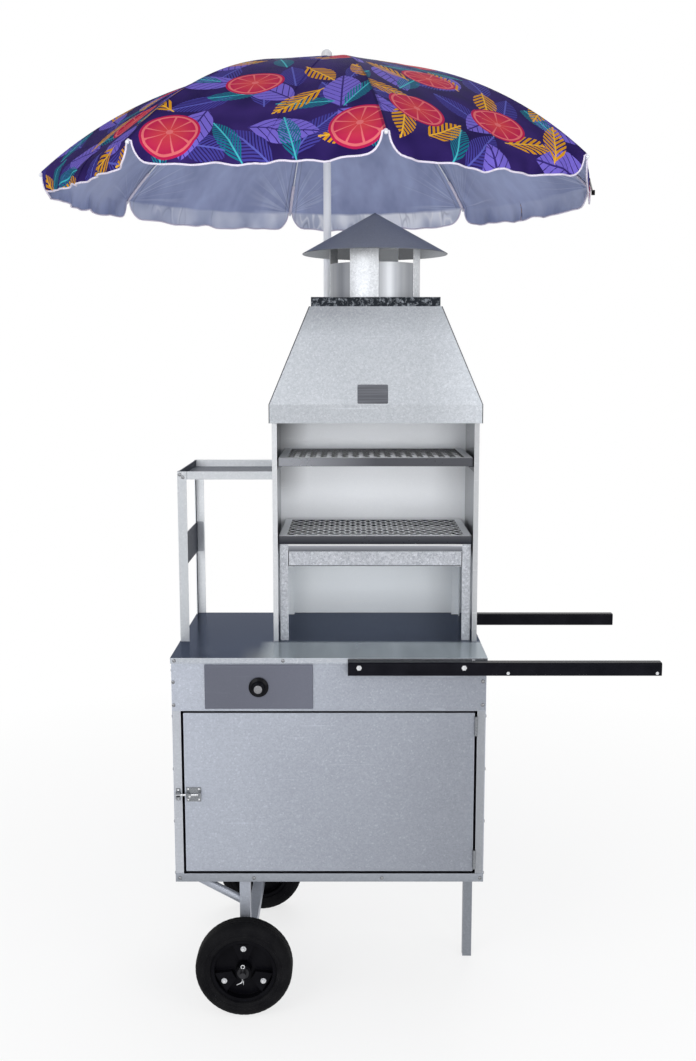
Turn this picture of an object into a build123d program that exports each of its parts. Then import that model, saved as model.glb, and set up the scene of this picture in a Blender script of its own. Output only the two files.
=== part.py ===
from build123d import *
import os
from math import acos, atan2, cos, degrees, hypot, radians, sin, sqrt

# Barbecue cart: sheet-metal cabinet on two wheels and a prop leg,
# with a firebox, a hood, a side shelf and a sun umbrella.
# Millimetres, +Z up. The cart's front faces -Y and its push handles point to +X.
# The origin is on the floor, below the middle of the whole object.

# Cabinet and table
cab_width = 800.0
cab_depth = 540.0
cab_bottom = 340.0
table_height = 935.0
table_sheet = 2.0
table_lip = 14.0
panel = 1.5
post_leg = 20.0
post_wall = 2.0
apron_height = 138.0
floor_rail = 22.0

# Drawer
drawer_inset = 86.5
drawer_front_width = 273.0
drawer_front_rise = 7.0
drawer_front_thick = 6.0
drawer_front_drop = 17.0
drawer_overlap = 13.0
drawer_length = 330.0
drawer_play = 1.0
slide_leg = 16.0
slide_wall = 2.0
knob_base_radius = 25.0
knob_head_radius = 14.0
knob_length = 25.0

# Door, hinges and latch
door_gap = 6.5
door_depth = 18.0
hinge_height = 50.0
hinge_inset = 8.0
hinge_leaf = 1.5
hinge_leaf_depth = 16.0
knuckle_radius = 4.0
knuckle_gap = 0.5
hinge_pin_radius = 2.0
pin_play = 0.05
latch_rise = 236.0
latch_plate_size = 38.0
latch_plate_inset = 4.0
latch_plate_thick = 1.5
latch_guide = 7.0
bolt_radius = 3.0
bolt_play = 0.1
bolt_stand_off = 0.6
bolt_knob_radius = 3.0
bolt_knob_length = 9.0
keeper_width = 11.0
keeper_height = 32.0
keeper_ear = 4.0
keeper_play = 0.6

# Push handles
handle_overlap = 352.0
handle_overhang = 432.0
handle_depth = 30.0
handle_height = 34.0
handle_wall = 2.5
handle_corner = 5.0
handle_drop = 5.0
handle_bolt_first = 28.0
handle_bolt_pitch = 262.0
handle_bolt_radius = 4.0
handle_bolt_head = 7.0
handle_bolt_rise = 5.0
handle_screw_first = 400.0
handle_screw_inset = 12.0
handle_screw_radius = 2.0
handle_screw_head = 4.0
handle_screw_rise = -9.0
head_thick = 4.0

# Prop leg, undercarriage and wheels
leg_size = 25.0
leg_wall = 2.0
leg_inset = 3.0
foot_thick = 5.0
axle_inset = 180.0
axle_radius = 8.0
axle_end = 14.0
strut_size = 27.0
strut_clear = 4.0
beam_size = 30.0
beam_wall = 3.0
beam_plug = 40.0
brace_radius = 10.5
brace_run = 102.0
brace_drop = 56.0
wheel_radius = 125.0
wheel_stand_off = 30.0
tyre_width = 72.0
tyre_shoulder = 20.0
rim_radius = 84.0
rim_width = 58.0
rim_wall = 9.0
web_thick = 14.0
hub_radius = 19.5
hub_length = 75.0
hub_play = 0.05
rim_pad_count = 3
rim_pad_gap = 5.0
rim_bolt_inset = 12.0
rim_bolt_radius = 4.5
wheel_side_play = 0.3
washer_radius = 15.0
washer_thick = 2.0
split_pin_radius = 2.0
split_pin_length = 34.0

# Firebox, grills and stand
firebox_inset = 10.0
firebox_width = 540.0
firebox_setback = 177.0
firebox_flange = 13.0
hood_rise = 580.0
rail_bearing = 9.5
rail_wall = 2.0
grill_play = 3.0
grill_setback = 8.0
grill_back_gap = 18.5
grill_height = 22.0
grill_flange = 20.0
grill_wall = 2.0
mesh_thick = 2.0
mesh_pitch = 40.0
mesh_row = 17.0
mesh_strand = 4.0
upper_grill_rise = 489.0
lower_grill_rise = 283.0
stand_play = 1.5
stand_inset = 5.0
stand_leg = 22.0
stand_wall = 2.0
stand_rail = 20.0
ledge_reach = 14.0
tray_height = 39.0
tray_play = 2.0
tray_sheet = 1.5
seat_gap = 0.3

# Hood and chimney
hood_sheet = 2.0
hood_overhang = 6.0
hood_front_overhang = 10.0
skirt_height = 48.0
hood_slope_height = 252.0
hood_top_side = 52.5
hood_top_edge = 11.0
collar_inset = 4.0
collar_height = 24.0
pipe_radius = 120.0
pipe_wall = 1.5
pipe_height = 91.0
strap_width = 77.0
strap_thick = 1.5
strap_seat = 0.15
strap_turn = -15.0
strap_count = 4
cap_radius = 195.0
cap_gap = 27.0
cap_rise = 108.0
cap_sheet = 1.5

# Shelf
shelf_rise = 454.0
shelf_rim = 21.0
shelf_sheet = 1.5
shelf_leg = 24.0
shelf_leg_wall = 2.0
shelf_plate_rise = 185.0
shelf_plate_height = 88.0

# Umbrella
pole_offset = -12.0
socket_clear = 13.0
pole_radius = 11.0
pole_wall = 1.5
pole_depth = 280.0
pole_play = 0.3
socket_wall = 4.7
socket_height = 250.0
socket_plate = 3.0
socket_plate_half = 22.0
socket_web = 16.0
ring_drop = 37.0
ring_height = 22.0
rib_count = 8
rib_turn = 10.6
rib_radius = 2.25
rib_bend = 1160.0
rib_eye_gap = 1.4
rib_hinge_height = 2484.0
rib_eye_radius = 3.5
rib_eye_thick = 3.6
rib_pin_radius = 1.5
crown_slot_play = 0.15
crown_edge = 7.0
crown_sleeve = 38.0
crown_sleeve_wall = 3.0
crown_play = 0.08
canopy_radius = 783.0
canopy_lift = 4.0
canopy_thick = 1.5
canopy_hole = 8.0
valance_depth = 52.0
valance_corner = 44.0
valance_notch = 6.0
tip_radius = 5.0
tip_reach = 6.5
finial_radius = 15.5
finial_height = 46.5
runner_drop = 169.0
runner_lug_reach = 10.7
runner_length = 55.0
runner_wall = 4.0
runner_lug = 5.0
stretcher_reach = 290.0
stretcher_hang = 3.5
stretcher_gap = 5.4
stretcher_cheek = 1.3
stretcher_height = 11.0
stretcher_pin_radius = 2.0
stretcher_web_start = 16.0
stretcher_web_end = 48.0

# Main planes, worked out from the sizes above
socket_radius = pole_radius + pole_play
pole_gap = socket_radius + socket_wall + socket_clear
canopy_reach = (canopy_radius + tip_reach + tip_radius) * cos(radians(rib_turn))
cab_x = (canopy_reach - pole_offset - cab_width / 2 - handle_overhang) / 2
left = cab_x - cab_width / 2
right = cab_x + cab_width / 2
back = -pole_gap
front = back - cab_depth
pole_x = cab_x + pole_offset
body_left = left + table_sheet
body_right = right - table_sheet
body_front = front + table_sheet
body_back = back - table_sheet
frame_left = body_left + panel
frame_right = body_right - panel
frame_front = body_front + panel
frame_back = body_back - panel
under_table = table_height - table_sheet
apron_bottom = table_height - apron_height
latch_height = cab_bottom + latch_rise
hood_bottom = table_height + hood_rise
upper_grill_top = table_height + upper_grill_rise
lower_grill_top = table_height + lower_grill_rise
shelf_top = table_height + shelf_rise
shelf_plate_bottom = table_height + shelf_plate_rise
pole_bottom = table_height - pole_depth
ring_bottom = hood_bottom - ring_drop
runner_pivot_height = rib_hinge_height - runner_drop


def span(start, size):
    """Low and high end of a stretch that may run either way."""
    return tuple(sorted((start, start + size)))


def block(x, y, z, mode=Mode.ADD):
    """Box between the low and high values of x, y and z."""
    with Locations((sum(x) / 2, sum(y) / 2, sum(z) / 2)):
        Box(x[1] - x[0], y[1] - y[0], z[1] - z[0], mode=mode)


def angle_bar(x, x_way, y, y_way, leg, wall, z):
    """Upright angle bar with its outer corner at x, y and its legs along x_way and y_way."""
    block(span(x, x_way * leg), span(y, y_way * wall), z)
    block(span(x, x_way * wall), span(y, y_way * leg), z)


def inset(pair, amount):
    """A low and high value, both moved inwards."""
    return (pair[0] + amount, pair[1] - amount)


# Fasteners of the push handles come first, because they cut their own holes
handle_x = (right - handle_overlap, right + handle_overhang)
handle_z = (table_height - handle_drop - handle_height, table_height - handle_drop)
handle_mid = sum(handle_z) / 2
front_handle_y = (front - handle_depth, front)
rear_handle_y = (back, back + handle_depth)
bolt_z = handle_mid + handle_bolt_rise
screw_z = handle_mid + handle_screw_rise
bolt_places = [handle_x[0] + handle_bolt_first + step * handle_bolt_pitch for step in (0, 1)]
screw_places = [handle_x[0] + handle_screw_first, handle_x[1] - handle_screw_inset]
bolt_length = handle_depth + table_sheet + panel + head_thick

with BuildPart() as handle_bolts:
    for face, way in ((front_handle_y[0], 1), (rear_handle_y[1], -1)):
        head_plane = Plane(origin=(0, face, 0), x_dir=(1, 0, 0), z_dir=(0, way, 0))
        rise = -way
        for place in bolt_places:
            with BuildSketch(head_plane):
                with Locations((place, rise * bolt_z)):
                    RegularPolygon(handle_bolt_head, 6)
            extrude(amount=-head_thick)
            with BuildSketch(head_plane):
                with Locations((place, rise * bolt_z)):
                    Circle(handle_bolt_radius)
            extrude(amount=bolt_length)
            with BuildSketch(head_plane.offset(handle_depth + table_sheet + panel)):
                with Locations((place, rise * bolt_z)):
                    RegularPolygon(handle_bolt_head, 6)
            extrude(amount=head_thick)
        for place in screw_places:
            with BuildSketch(head_plane):
                with Locations((place, rise * screw_z)):
                    Circle(handle_screw_head)
            extrude(amount=-head_thick / 2)
            with BuildSketch(head_plane):
                with Locations((place, rise * screw_z)):
                    Circle(handle_screw_radius)
            extrude(amount=handle_wall + head_thick)

with BuildPart() as push_handles:
    for handle_y in (front_handle_y, rear_handle_y):
        end_plane = Plane(origin=(handle_x[0], sum(handle_y) / 2, handle_mid), x_dir=(0, 1, 0), z_dir=(1, 0, 0))
        with BuildSketch(end_plane):
            RectangleRounded(handle_depth, handle_height, handle_corner)
        extrude(amount=handle_x[1] - handle_x[0])
        with BuildSketch(end_plane):
            RectangleRounded(
                handle_depth - 2 * handle_wall, handle_height - 2 * handle_wall, handle_corner - handle_wall
            )
        extrude(amount=handle_x[1] - handle_x[0] - handle_wall, mode=Mode.SUBTRACT)
    add(handle_bolts.part, mode=Mode.SUBTRACT)

# Table top: a sheet with its four edges folded down
with BuildPart() as table_top:
    block((left, right), (front, back), (table_height - table_lip, table_height))
    block(
        (body_left, body_right),
        (body_front, body_back),
        (table_height - table_lip, under_table),
        mode=Mode.SUBTRACT,
    )
    add(handle_bolts.part, mode=Mode.SUBTRACT)

# Cabinet shell
panel_z = (cab_bottom, under_table)

with BuildPart() as corner_posts:
    post_z = (cab_bottom + panel, under_table)
    for x, x_way in ((frame_left, 1), (frame_right, -1)):
        for y, y_way in ((frame_front, 1), (frame_back, -1)):
            angle_bar(x, x_way, y, y_way, post_leg, post_wall, post_z)

with BuildPart() as left_side_panel:
    block((body_left, frame_left), (frame_front, frame_back), panel_z)

with BuildPart() as right_side_panel:
    block((frame_right, body_right), (frame_front, frame_back), panel_z)

with BuildPart() as back_panel:
    block((body_left, body_right), (frame_back, body_back), panel_z)
    add(handle_bolts.part, mode=Mode.SUBTRACT)

with BuildPart() as floor_panel:
    block((frame_left, frame_right), (frame_front, frame_back), (cab_bottom, cab_bottom + panel))
    block((body_left, body_right), (body_front, frame_front), (cab_bottom, cab_bottom + floor_rail))

# Drawer, with its opening in the apron
drawer_x = left + drawer_inset + drawer_front_width / 2
drawer_front_z = (apron_bottom + drawer_front_rise, table_height - drawer_front_drop)
box_half = drawer_front_width / 2 - drawer_overlap
box_z = inset(drawer_front_z, drawer_overlap)
box_y = (body_front, body_front + drawer_length)
box_x = (drawer_x - box_half, drawer_x + box_half)

with BuildPart() as front_apron:
    block((body_left, body_right), (body_front, frame_front), (apron_bottom, under_table))
    block(inset(box_x, -drawer_play), (body_front, frame_front), inset(box_z, -drawer_play), mode=Mode.SUBTRACT)
    add(handle_bolts.part, mode=Mode.SUBTRACT)

with BuildPart() as drawer:
    block(box_x, box_y, box_z)
    block(inset(box_x, panel), inset(box_y, panel), (box_z[0] + panel, box_z[1]), mode=Mode.SUBTRACT)
    block(
        (drawer_x - drawer_front_width / 2, drawer_x + drawer_front_width / 2),
        (body_front - drawer_front_thick, body_front),
        drawer_front_z,
    )
    front_edges = drawer.edges().filter_by(Axis.Y, reverse=True).group_by(Axis.Y)[0]
    chamfer(front_edges, drawer_front_thick / 4)

with BuildPart() as drawer_runners:
    for side, way in ((box_x[0], -1), (box_x[1], 1)):
        runner_y = (frame_front, frame_back)
        block(
            span(side + way * drawer_play, -way * slide_leg),
            runner_y,
            (box_z[0] - seat_gap - slide_wall, box_z[0] - seat_gap),
        )
        block(
            span(side + way * drawer_play, way * slide_wall),
            runner_y,
            (box_z[0] - seat_gap - slide_wall, box_z[0] + slide_leg),
        )

knob_seat = (drawer_x, body_front - drawer_front_thick, sum(drawer_front_z) / 2)
knob_plane = Plane(origin=knob_seat, x_dir=(1, 0, 0), z_dir=(0, 0, 1))
with BuildPart() as drawer_knob:
    with BuildSketch(knob_plane):
        with BuildLine():
            Polyline(
                (0, 0),
                (knob_base_radius, 0),
                (knob_base_radius, -knob_length / 5),
                (knob_head_radius * 1.25, -knob_length * 0.36),
                (knob_head_radius, -knob_length * 0.88),
                (knob_head_radius * 0.85, -knob_length),
                (0, -knob_length),
                close=True,
            )
        make_face()
    revolve(axis=Axis(knob_plane.origin, (0, 1, 0)))

# Door with folded edges, inset between the posts
opening_x = inset((frame_left, frame_right), post_leg)
door_x = inset(opening_x, door_gap)
door_y = (frame_front, frame_front + door_depth)
door_z = inset((cab_bottom + floor_rail, apron_bottom), door_gap)

with BuildPart() as door_panel:
    block(door_x, door_y, door_z)
    block(inset(door_x, panel), (door_y[0] + panel, door_y[1]), inset(door_z, panel), mode=Mode.SUBTRACT)
    door_folds = door_panel.edges().filter_by(Axis.Y)
    fillet(door_folds.filter_by(lambda edge: edge.length > door_depth - panel / 2), panel)

# Butt hinges in the gap at the door's right edge
hinge_axis_x = door_x[1] + door_gap / 2
hinge_axis_y = door_y[0] - knuckle_radius
hinge_starts = (door_z[0] + hinge_inset, door_z[1] - hinge_inset - hinge_height)
knuckle_pitch = hinge_height / 3


def knuckle(low, length, bore):
    """One rolled knuckle about the hinge axis, with its bore."""
    with Locations((hinge_axis_x, hinge_axis_y, low)):
        Cylinder(knuckle_radius, length, align=(Align.CENTER, Align.CENTER, Align.MIN))
        Cylinder(bore, length, align=(Align.CENTER, Align.CENTER, Align.MIN), mode=Mode.SUBTRACT)


with BuildPart() as hinge_leaves_door:
    for start in hinge_starts:
        middle_z = (start + knuckle_pitch + knuckle_gap, start + 2 * knuckle_pitch - knuckle_gap)
        leaf_y = (door_y[0], door_y[0] + hinge_leaf_depth)
        block((door_x[1], door_x[1] + hinge_leaf), leaf_y, (start, start + hinge_height))
        block((door_x[1], door_x[1] + hinge_leaf), (hinge_axis_y, door_y[0]), middle_z)
        knuckle(middle_z[0], middle_z[1] - middle_z[0], hinge_pin_radius + pin_play)

with BuildPart() as hinge_leaves_fixed:
    for start in hinge_starts:
        leaf_x = (opening_x[1] - hinge_leaf, opening_x[1])
        leaf_y = (door_y[0], door_y[0] + hinge_leaf_depth)
        block(leaf_x, leaf_y, (start, start + hinge_height))
        for low in (start, start + 2 * knuckle_pitch):
            block(leaf_x, (hinge_axis_y, door_y[0]), (low, low + knuckle_pitch))
            knuckle(low, knuckle_pitch, hinge_pin_radius)
        with Locations((hinge_axis_x, hinge_axis_y, start)):
            Cylinder(hinge_pin_radius, hinge_height, align=(Align.CENTER, Align.CENTER, Align.MIN))

# Bolt latch at the door's left edge
latch_x = span(door_x[0] + latch_plate_inset, latch_plate_size)
latch_z = (latch_height - latch_plate_size / 2, latch_height + latch_plate_size / 2)
latch_face = door_y[0] - latch_plate_thick
bolt_y = latch_face - bolt_stand_off - bolt_radius
guide_y = (bolt_y - bolt_radius - latch_guide / 2, latch_face)
guide_z = (latch_height - bolt_radius - latch_guide / 2, latch_height + bolt_radius + latch_guide / 2)
keeper_x = span(opening_x[0] - (post_leg - keeper_width) / 2, -keeper_width)
bolt_x = (keeper_x[0] + keeper_play, latch_x[1])
bolt_axis = Plane(origin=(bolt_x[0], bolt_y, latch_height), x_dir=(0, 1, 0), z_dir=(1, 0, 0))

with BuildPart() as latch_plate:
    block(latch_x, (latch_face, door_y[0]), latch_z)
    for guide_start, way in ((latch_x[0], 1), (latch_x[1], -1)):
        block(span(guide_start, way * latch_guide), guide_y, guide_z)
    with BuildSketch(bolt_axis):
        Circle(bolt_radius + bolt_play)
    extrude(amount=bolt_x[1] - bolt_x[0], mode=Mode.SUBTRACT)

with BuildPart() as latch_bolt:
    with BuildSketch(bolt_axis):
        Circle(bolt_radius)
    extrude(amount=bolt_x[1] - bolt_x[0])
    knob_start = latch_x[0] + latch_guide + bolt_knob_radius + bolt_stand_off
    with Locations((knob_start, bolt_y, latch_height)):
        Cylinder(
            bolt_knob_radius,
            bolt_knob_length + bolt_radius,
            rotation=(90, 0, 0),
            align=(Align.CENTER, Align.CENTER, Align.MIN),
        )

with BuildPart() as latch_keeper:
    keeper_z = (latch_height - keeper_height / 2, latch_height + keeper_height / 2)
    block(keeper_x, (latch_face, door_y[0]), keeper_z)
    for ear_way in (-1, 1):
        ear_start = latch_height + ear_way * (bolt_radius + keeper_play)
        block(keeper_x, (guide_y[0], latch_face), span(ear_start, ear_way * keeper_ear))

# Prop leg under the right end
leg_x = span(right - leg_inset, -leg_size)
leg_y = (front + cab_depth / 2 - leg_size / 2, front + cab_depth / 2 + leg_size / 2)

with BuildPart() as prop_leg:
    block(leg_x, leg_y, (0, cab_bottom))
    block(inset(leg_x, leg_wall), inset(leg_y, leg_wall), (foot_thick, cab_bottom), mode=Mode.SUBTRACT)

# Undercarriage: two struts on an axle beam, each with a diagonal tube brace
axle_x = left + axle_inset
axle_z = wheel_radius
hub_inner = hub_length / 2 - wheel_stand_off
strut_inset = tyre_width / 2 - wheel_stand_off + strut_clear
beam_start = hub_inner + wheel_side_play + washer_thick
beam_y = (front + beam_start, back - beam_start)
strut_x = (axle_x - strut_size / 2, axle_x + strut_size / 2)
beam_x = (axle_x - beam_size / 2, axle_x + beam_size / 2)
beam_z = (axle_z - beam_size / 2, axle_z + beam_size / 2)
strut_ys = (span(front + strut_inset, strut_size), span(back - strut_inset, -strut_size))

brace_low_z = cab_bottom - brace_drop
brace_way = Vector(-brace_run, 0, brace_drop).normalized()
with BuildPart() as axle_braces:
    for strut_y in strut_ys:
        foot = Vector(strut_x[0], sum(strut_y) / 2, brace_low_z)
        start = foot - brace_way * brace_radius * 2
        with BuildSketch(Plane(origin=start, x_dir=(0, 1, 0), z_dir=brace_way)):
            Circle(brace_radius)
            Circle(brace_radius - leg_wall, mode=Mode.SUBTRACT)
        extrude(amount=hypot(brace_run, brace_drop) + 6 * brace_radius)
        trim_y = inset(strut_y, -brace_radius)
        trim_x = (strut_x[0], strut_x[0] + 6 * brace_radius)
        block(trim_x, trim_y, (brace_low_z - 6 * brace_radius, cab_bottom), mode=Mode.SUBTRACT)
        high_x = (strut_x[0] - 2 * brace_run, trim_x[1])
        block(high_x, trim_y, (cab_bottom, cab_bottom + 6 * brace_radius), mode=Mode.SUBTRACT)

with BuildPart() as axle_frame:
    block(beam_x, beam_y, beam_z)
    block(inset(beam_x, beam_wall), inset(beam_y, beam_plug), inset(beam_z, beam_wall), mode=Mode.SUBTRACT)
    with BuildSketch(Plane(origin=(axle_x, beam_y[0], axle_z), x_dir=(1, 0, 0), z_dir=(0, 1, 0))):
        Circle(axle_radius)
    extrude(amount=beam_y[1] - beam_y[0], mode=Mode.SUBTRACT)
    for strut_y in strut_ys:
        block(strut_x, strut_y, (beam_z[1], cab_bottom))
        strut_bore_z = (beam_z[1] + beam_wall, cab_bottom)
        block(inset(strut_x, beam_wall), inset(strut_y, beam_wall), strut_bore_z, mode=Mode.SUBTRACT)
    add(axle_braces.part)

# Axle rod with washers and split pins
hub_outer = hub_length / 2 + wheel_stand_off
axle_reach = hub_outer + wheel_side_play + washer_thick + axle_end
pin_reach = axle_reach - axle_end / 2
axle_plane = Plane(origin=(axle_x, 0, axle_z), x_dir=(1, 0, 0), z_dir=(0, 1, 0))

with BuildPart() as axle:
    with BuildSketch(axle_plane.offset(front - axle_reach)):
        Circle(axle_radius)
    extrude(amount=cab_depth + 2 * axle_reach)
    for pin_y in (front - pin_reach, back + pin_reach):
        with Locations((axle_x, pin_y, axle_z)):
            Cylinder(split_pin_radius, split_pin_length, mode=Mode.SUBTRACT)
    for pin_y in (front - pin_reach, back + pin_reach):
        with Locations((axle_x, pin_y, axle_z)):
            Cylinder(split_pin_radius, split_pin_length)
    for washer_reach in (hub_outer + wheel_side_play, -hub_inner - wheel_side_play - washer_thick):
        for washer_start in (front - washer_reach - washer_thick, back + washer_reach):
            with BuildSketch(axle_plane.offset(washer_start)):
                Circle(washer_radius)
                Circle(axle_radius, mode=Mode.SUBTRACT)
            extrude(amount=washer_thick)


def wheel_profile_plane(wheel_y):
    """Plane through the wheel's axis: its x runs along the axle and its y outwards."""
    return Plane(origin=(axle_x, wheel_y, axle_z), x_dir=(0, 1, 0), z_dir=(1, 0, 0))


rim_pad_radius = rim_radius - rim_wall - rim_pad_gap
rim_bolt_circle = rim_pad_radius - rim_bolt_inset
wheel_ys = {"front": front - wheel_stand_off, "rear": back + wheel_stand_off}
tyres = {}
rims = {}
for end, wheel_y in wheel_ys.items():
    outward = -1 if end == "front" else 1
    spin = Axis((axle_x, wheel_y, axle_z), (0, 1, 0))

    with BuildPart() as tyre:
        with BuildSketch(wheel_profile_plane(wheel_y)) as section:
            with Locations((0, rim_radius)):
                Rectangle(tyre_width, wheel_radius - rim_radius, align=(Align.CENTER, Align.MIN))
            fillet(section.vertices().group_by(Axis.Z)[-1], tyre_shoulder)
            chamfer(section.vertices().group_by(Axis.Z)[0], (tyre_width - rim_width) / 2)
        revolve(axis=spin)
    tyres[end] = tyre

    with BuildPart() as rim:
        with BuildSketch(wheel_profile_plane(wheel_y)):
            Rectangle(hub_length, hub_radius, align=(Align.CENTER, Align.MIN))
            Rectangle(web_thick, rim_radius - rim_wall / 2, align=(Align.CENTER, Align.MIN))
            with Locations((0, rim_radius - rim_wall)):
                Rectangle(rim_width, rim_wall, align=(Align.CENTER, Align.MIN))
            Rectangle(hub_length, axle_radius + hub_play, align=(Align.CENTER, Align.MIN), mode=Mode.SUBTRACT)
        revolve(axis=spin)
        pad_depth = (rim_width - web_thick) / 2 * 0.7
        web_face = (axle_x, wheel_y + outward * web_thick / 2, axle_z)
        face_plane = Plane(origin=web_face, x_dir=(-outward, 0, 0), z_dir=(0, outward, 0))
        with BuildSketch(face_plane):
            with PolarLocations(0, rim_pad_count, start_angle=90):
                Polygon(
                    (hub_radius + rim_wall, -hub_radius * 0.6),
                    (rim_pad_radius, -hub_radius * 1.5),
                    (rim_pad_radius, hub_radius * 1.5),
                    (hub_radius + rim_wall, hub_radius * 0.6),
                    align=None,
                )
        extrude(amount=pad_depth)
        with BuildSketch(face_plane.offset(pad_depth)):
            with PolarLocations(rim_bolt_circle, rim_pad_count, start_angle=90):
                RegularPolygon(rim_bolt_radius, 6)
        extrude(amount=head_thick)
    rims[end] = rim

# Firebox walls on the table
fire_x = right - firebox_inset - firebox_width / 2
fire_left = fire_x - firebox_width / 2
fire_right = fire_x + firebox_width / 2
fire_front = front + firebox_setback
hood_top_width = 2 * (pipe_radius + hood_top_side)
hood_top_depth = 2 * (pipe_radius + hood_top_edge)
skirt_top = hood_bottom + skirt_height
slope_run = hood_overhang + (firebox_width - hood_top_width) / 2
wall_top = skirt_top + (hood_overhang - hood_sheet) * hood_slope_height / slope_run - seat_gap
wall_z = (table_height, wall_top)
wall_y = (fire_front, back - panel)

with BuildPart() as firebox_left_wall:
    block((fire_left, fire_left + panel), wall_y, wall_z)
    block((fire_left, fire_left + firebox_flange), span(fire_front, panel), wall_z)

with BuildPart() as firebox_right_wall:
    block((fire_right - panel, fire_right), wall_y, wall_z)
    block((fire_right - firebox_flange, fire_right), span(fire_front, panel), wall_z)

with BuildPart() as firebox_back_wall:
    block((fire_left, fire_right), (back - panel, back), wall_z)

# Grills: an angle frame with expanded mesh welded under its top flange
grill_y = (fire_front + grill_setback, back - panel - grill_back_gap)
grill_x = inset((fire_left, fire_right), firebox_flange + grill_play)
grill_width = grill_x[1] - grill_x[0]
grill_depth = grill_y[1] - grill_y[0]
rail_leg = firebox_flange + grill_play + rail_bearing - panel


def make_grill(top):
    """A grill frame with its mesh, its top at the given height."""
    mesh_z = top - grill_wall - mesh_thick
    mesh_x = inset(grill_x, grill_wall)
    mesh_y = inset(grill_y, grill_wall)
    window_width = grill_width - 2 * grill_flange
    window_depth = grill_depth - 2 * grill_flange
    columns = int(window_width // mesh_pitch)
    rows = int(window_depth // (2 * mesh_row))
    gap_half = mesh_pitch / 2 - mesh_strand * 0.75
    row_half = mesh_row - mesh_strand * 0.75
    with BuildPart() as grill:
        block(grill_x, grill_y, (top - grill_height, top))
        block(mesh_x, mesh_y, (top - grill_height, top - grill_wall), mode=Mode.SUBTRACT)
        window_z = (top - grill_wall, top)
        block(inset(grill_x, grill_flange), inset(grill_y, grill_flange), window_z, mode=Mode.SUBTRACT)
        middle = ((grill_x[0] + grill_x[1]) / 2, (grill_y[0] + grill_y[1]) / 2, mesh_z)
        with BuildSketch(Plane(middle)):
            Rectangle(grill_width - 2 * grill_wall, grill_depth - 2 * grill_wall)
            with GridLocations(mesh_pitch, 2 * mesh_row, columns, rows):
                Polygon((gap_half, 0), (0, row_half), (-gap_half, 0), (0, -row_half), mode=Mode.SUBTRACT)
            with GridLocations(mesh_pitch, 2 * mesh_row, columns - 1, rows - 1):
                Polygon((gap_half, 0), (0, row_half), (-gap_half, 0), (0, -row_half), mode=Mode.SUBTRACT)
        extrude(amount=mesh_thick)
    return grill


upper_grill = make_grill(upper_grill_top)
lower_grill = make_grill(lower_grill_top)

with BuildPart() as grill_rails:
    rail_top = upper_grill_top - grill_height - seat_gap
    rail_y = inset((fire_front + panel, back - panel), grill_setback)
    for side, way in ((fire_left + panel, 1), (fire_right - panel, -1)):
        block(span(side, way * rail_leg), rail_y, (rail_top - rail_wall, rail_top))
        block(span(side, way * rail_wall), rail_y, (rail_top - rail_leg, rail_top))

# Inner stand: four angle legs, a top ring and two ledges for the charcoal tray
stand_x = inset(grill_x, stand_play)
stand_y = inset(grill_y, stand_inset)
stand_top = lower_grill_top - grill_height - seat_gap
tray_top = stand_top - stand_rail - seat_gap
tray_bottom = tray_top - tray_height

with BuildPart() as fire_stand:
    ring_z = (stand_top - stand_rail, stand_top)
    block(stand_x, stand_y, ring_z)
    block(inset(stand_x, stand_wall), inset(stand_y, stand_wall), ring_z, mode=Mode.SUBTRACT)
    for x, x_way in ((stand_x[0], 1), (stand_x[1], -1)):
        for y, y_way in ((stand_y[0], 1), (stand_y[1], -1)):
            angle_bar(x, x_way, y, y_way, stand_leg, stand_wall, (table_height, stand_top))
        ledge_x = span(x + x_way * stand_wall, x_way * (stand_leg + ledge_reach))
        ledge_z = span(tray_bottom - seat_gap, -stand_wall)
        block(ledge_x, inset(stand_y, stand_wall), ledge_z)

with BuildPart() as charcoal_tray:
    tray_x = inset(stand_x, stand_leg + tray_play)
    tray_y = (stand_y[0] + stand_wall, stand_y[1] - stand_leg)
    block(tray_x, tray_y, (tray_bottom, tray_top))
    inside_z = (tray_bottom + tray_sheet, tray_top)
    block(inset(tray_x, tray_sheet), inset(tray_y, tray_sheet), inside_z, mode=Mode.SUBTRACT)

# Hood: skirt, four sloping sides and a collar with the chimney's hole
fire_y = (fire_front + back) / 2
skirt_x = inset((fire_left, fire_right), -hood_overhang)
skirt_y = (fire_front - hood_front_overhang, back + hood_overhang)
slope_top = skirt_top + hood_slope_height
collar_top = slope_top + collar_height


def hood_solid(shrink):
    """Skirt and slopes as one filled shape, drawn in by the given amount."""
    with BuildPart() as solid:
        block(inset(skirt_x, shrink), inset(skirt_y, shrink), (hood_bottom, skirt_top))
        with BuildSketch(Plane((fire_x, sum(skirt_y) / 2, skirt_top))):
            Rectangle(skirt_x[1] - skirt_x[0] - 2 * shrink, skirt_y[1] - skirt_y[0] - 2 * shrink)
        with BuildSketch(Plane((fire_x, fire_y, slope_top))):
            Rectangle(hood_top_width - 2 * shrink, hood_top_depth - 2 * shrink)
        loft()
    return solid


hood_outside = hood_solid(0)
hood_inside = hood_solid(hood_sheet)

with BuildPart() as hood:
    add(hood_outside.part)
    add(hood_inside.part, mode=Mode.SUBTRACT)
    collar_x = (fire_x - hood_top_width / 2 + collar_inset, fire_x + hood_top_width / 2 - collar_inset)
    collar_y = (fire_y - hood_top_depth / 2, fire_y + hood_top_depth / 2)
    block(collar_x, collar_y, (slope_top, collar_top))
    collar_z = (slope_top, collar_top - hood_sheet)
    block(inset(collar_x, hood_sheet), inset(collar_y, hood_sheet), collar_z, mode=Mode.SUBTRACT)
    with Locations((fire_x, fire_y, collar_top)):
        Cylinder(pipe_radius - pipe_wall, 4 * hood_sheet, mode=Mode.SUBTRACT)

# Chimney pipe, its straps and the conical cap
pipe_top = collar_top + pipe_height
cap_rim = pipe_top + cap_gap

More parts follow.
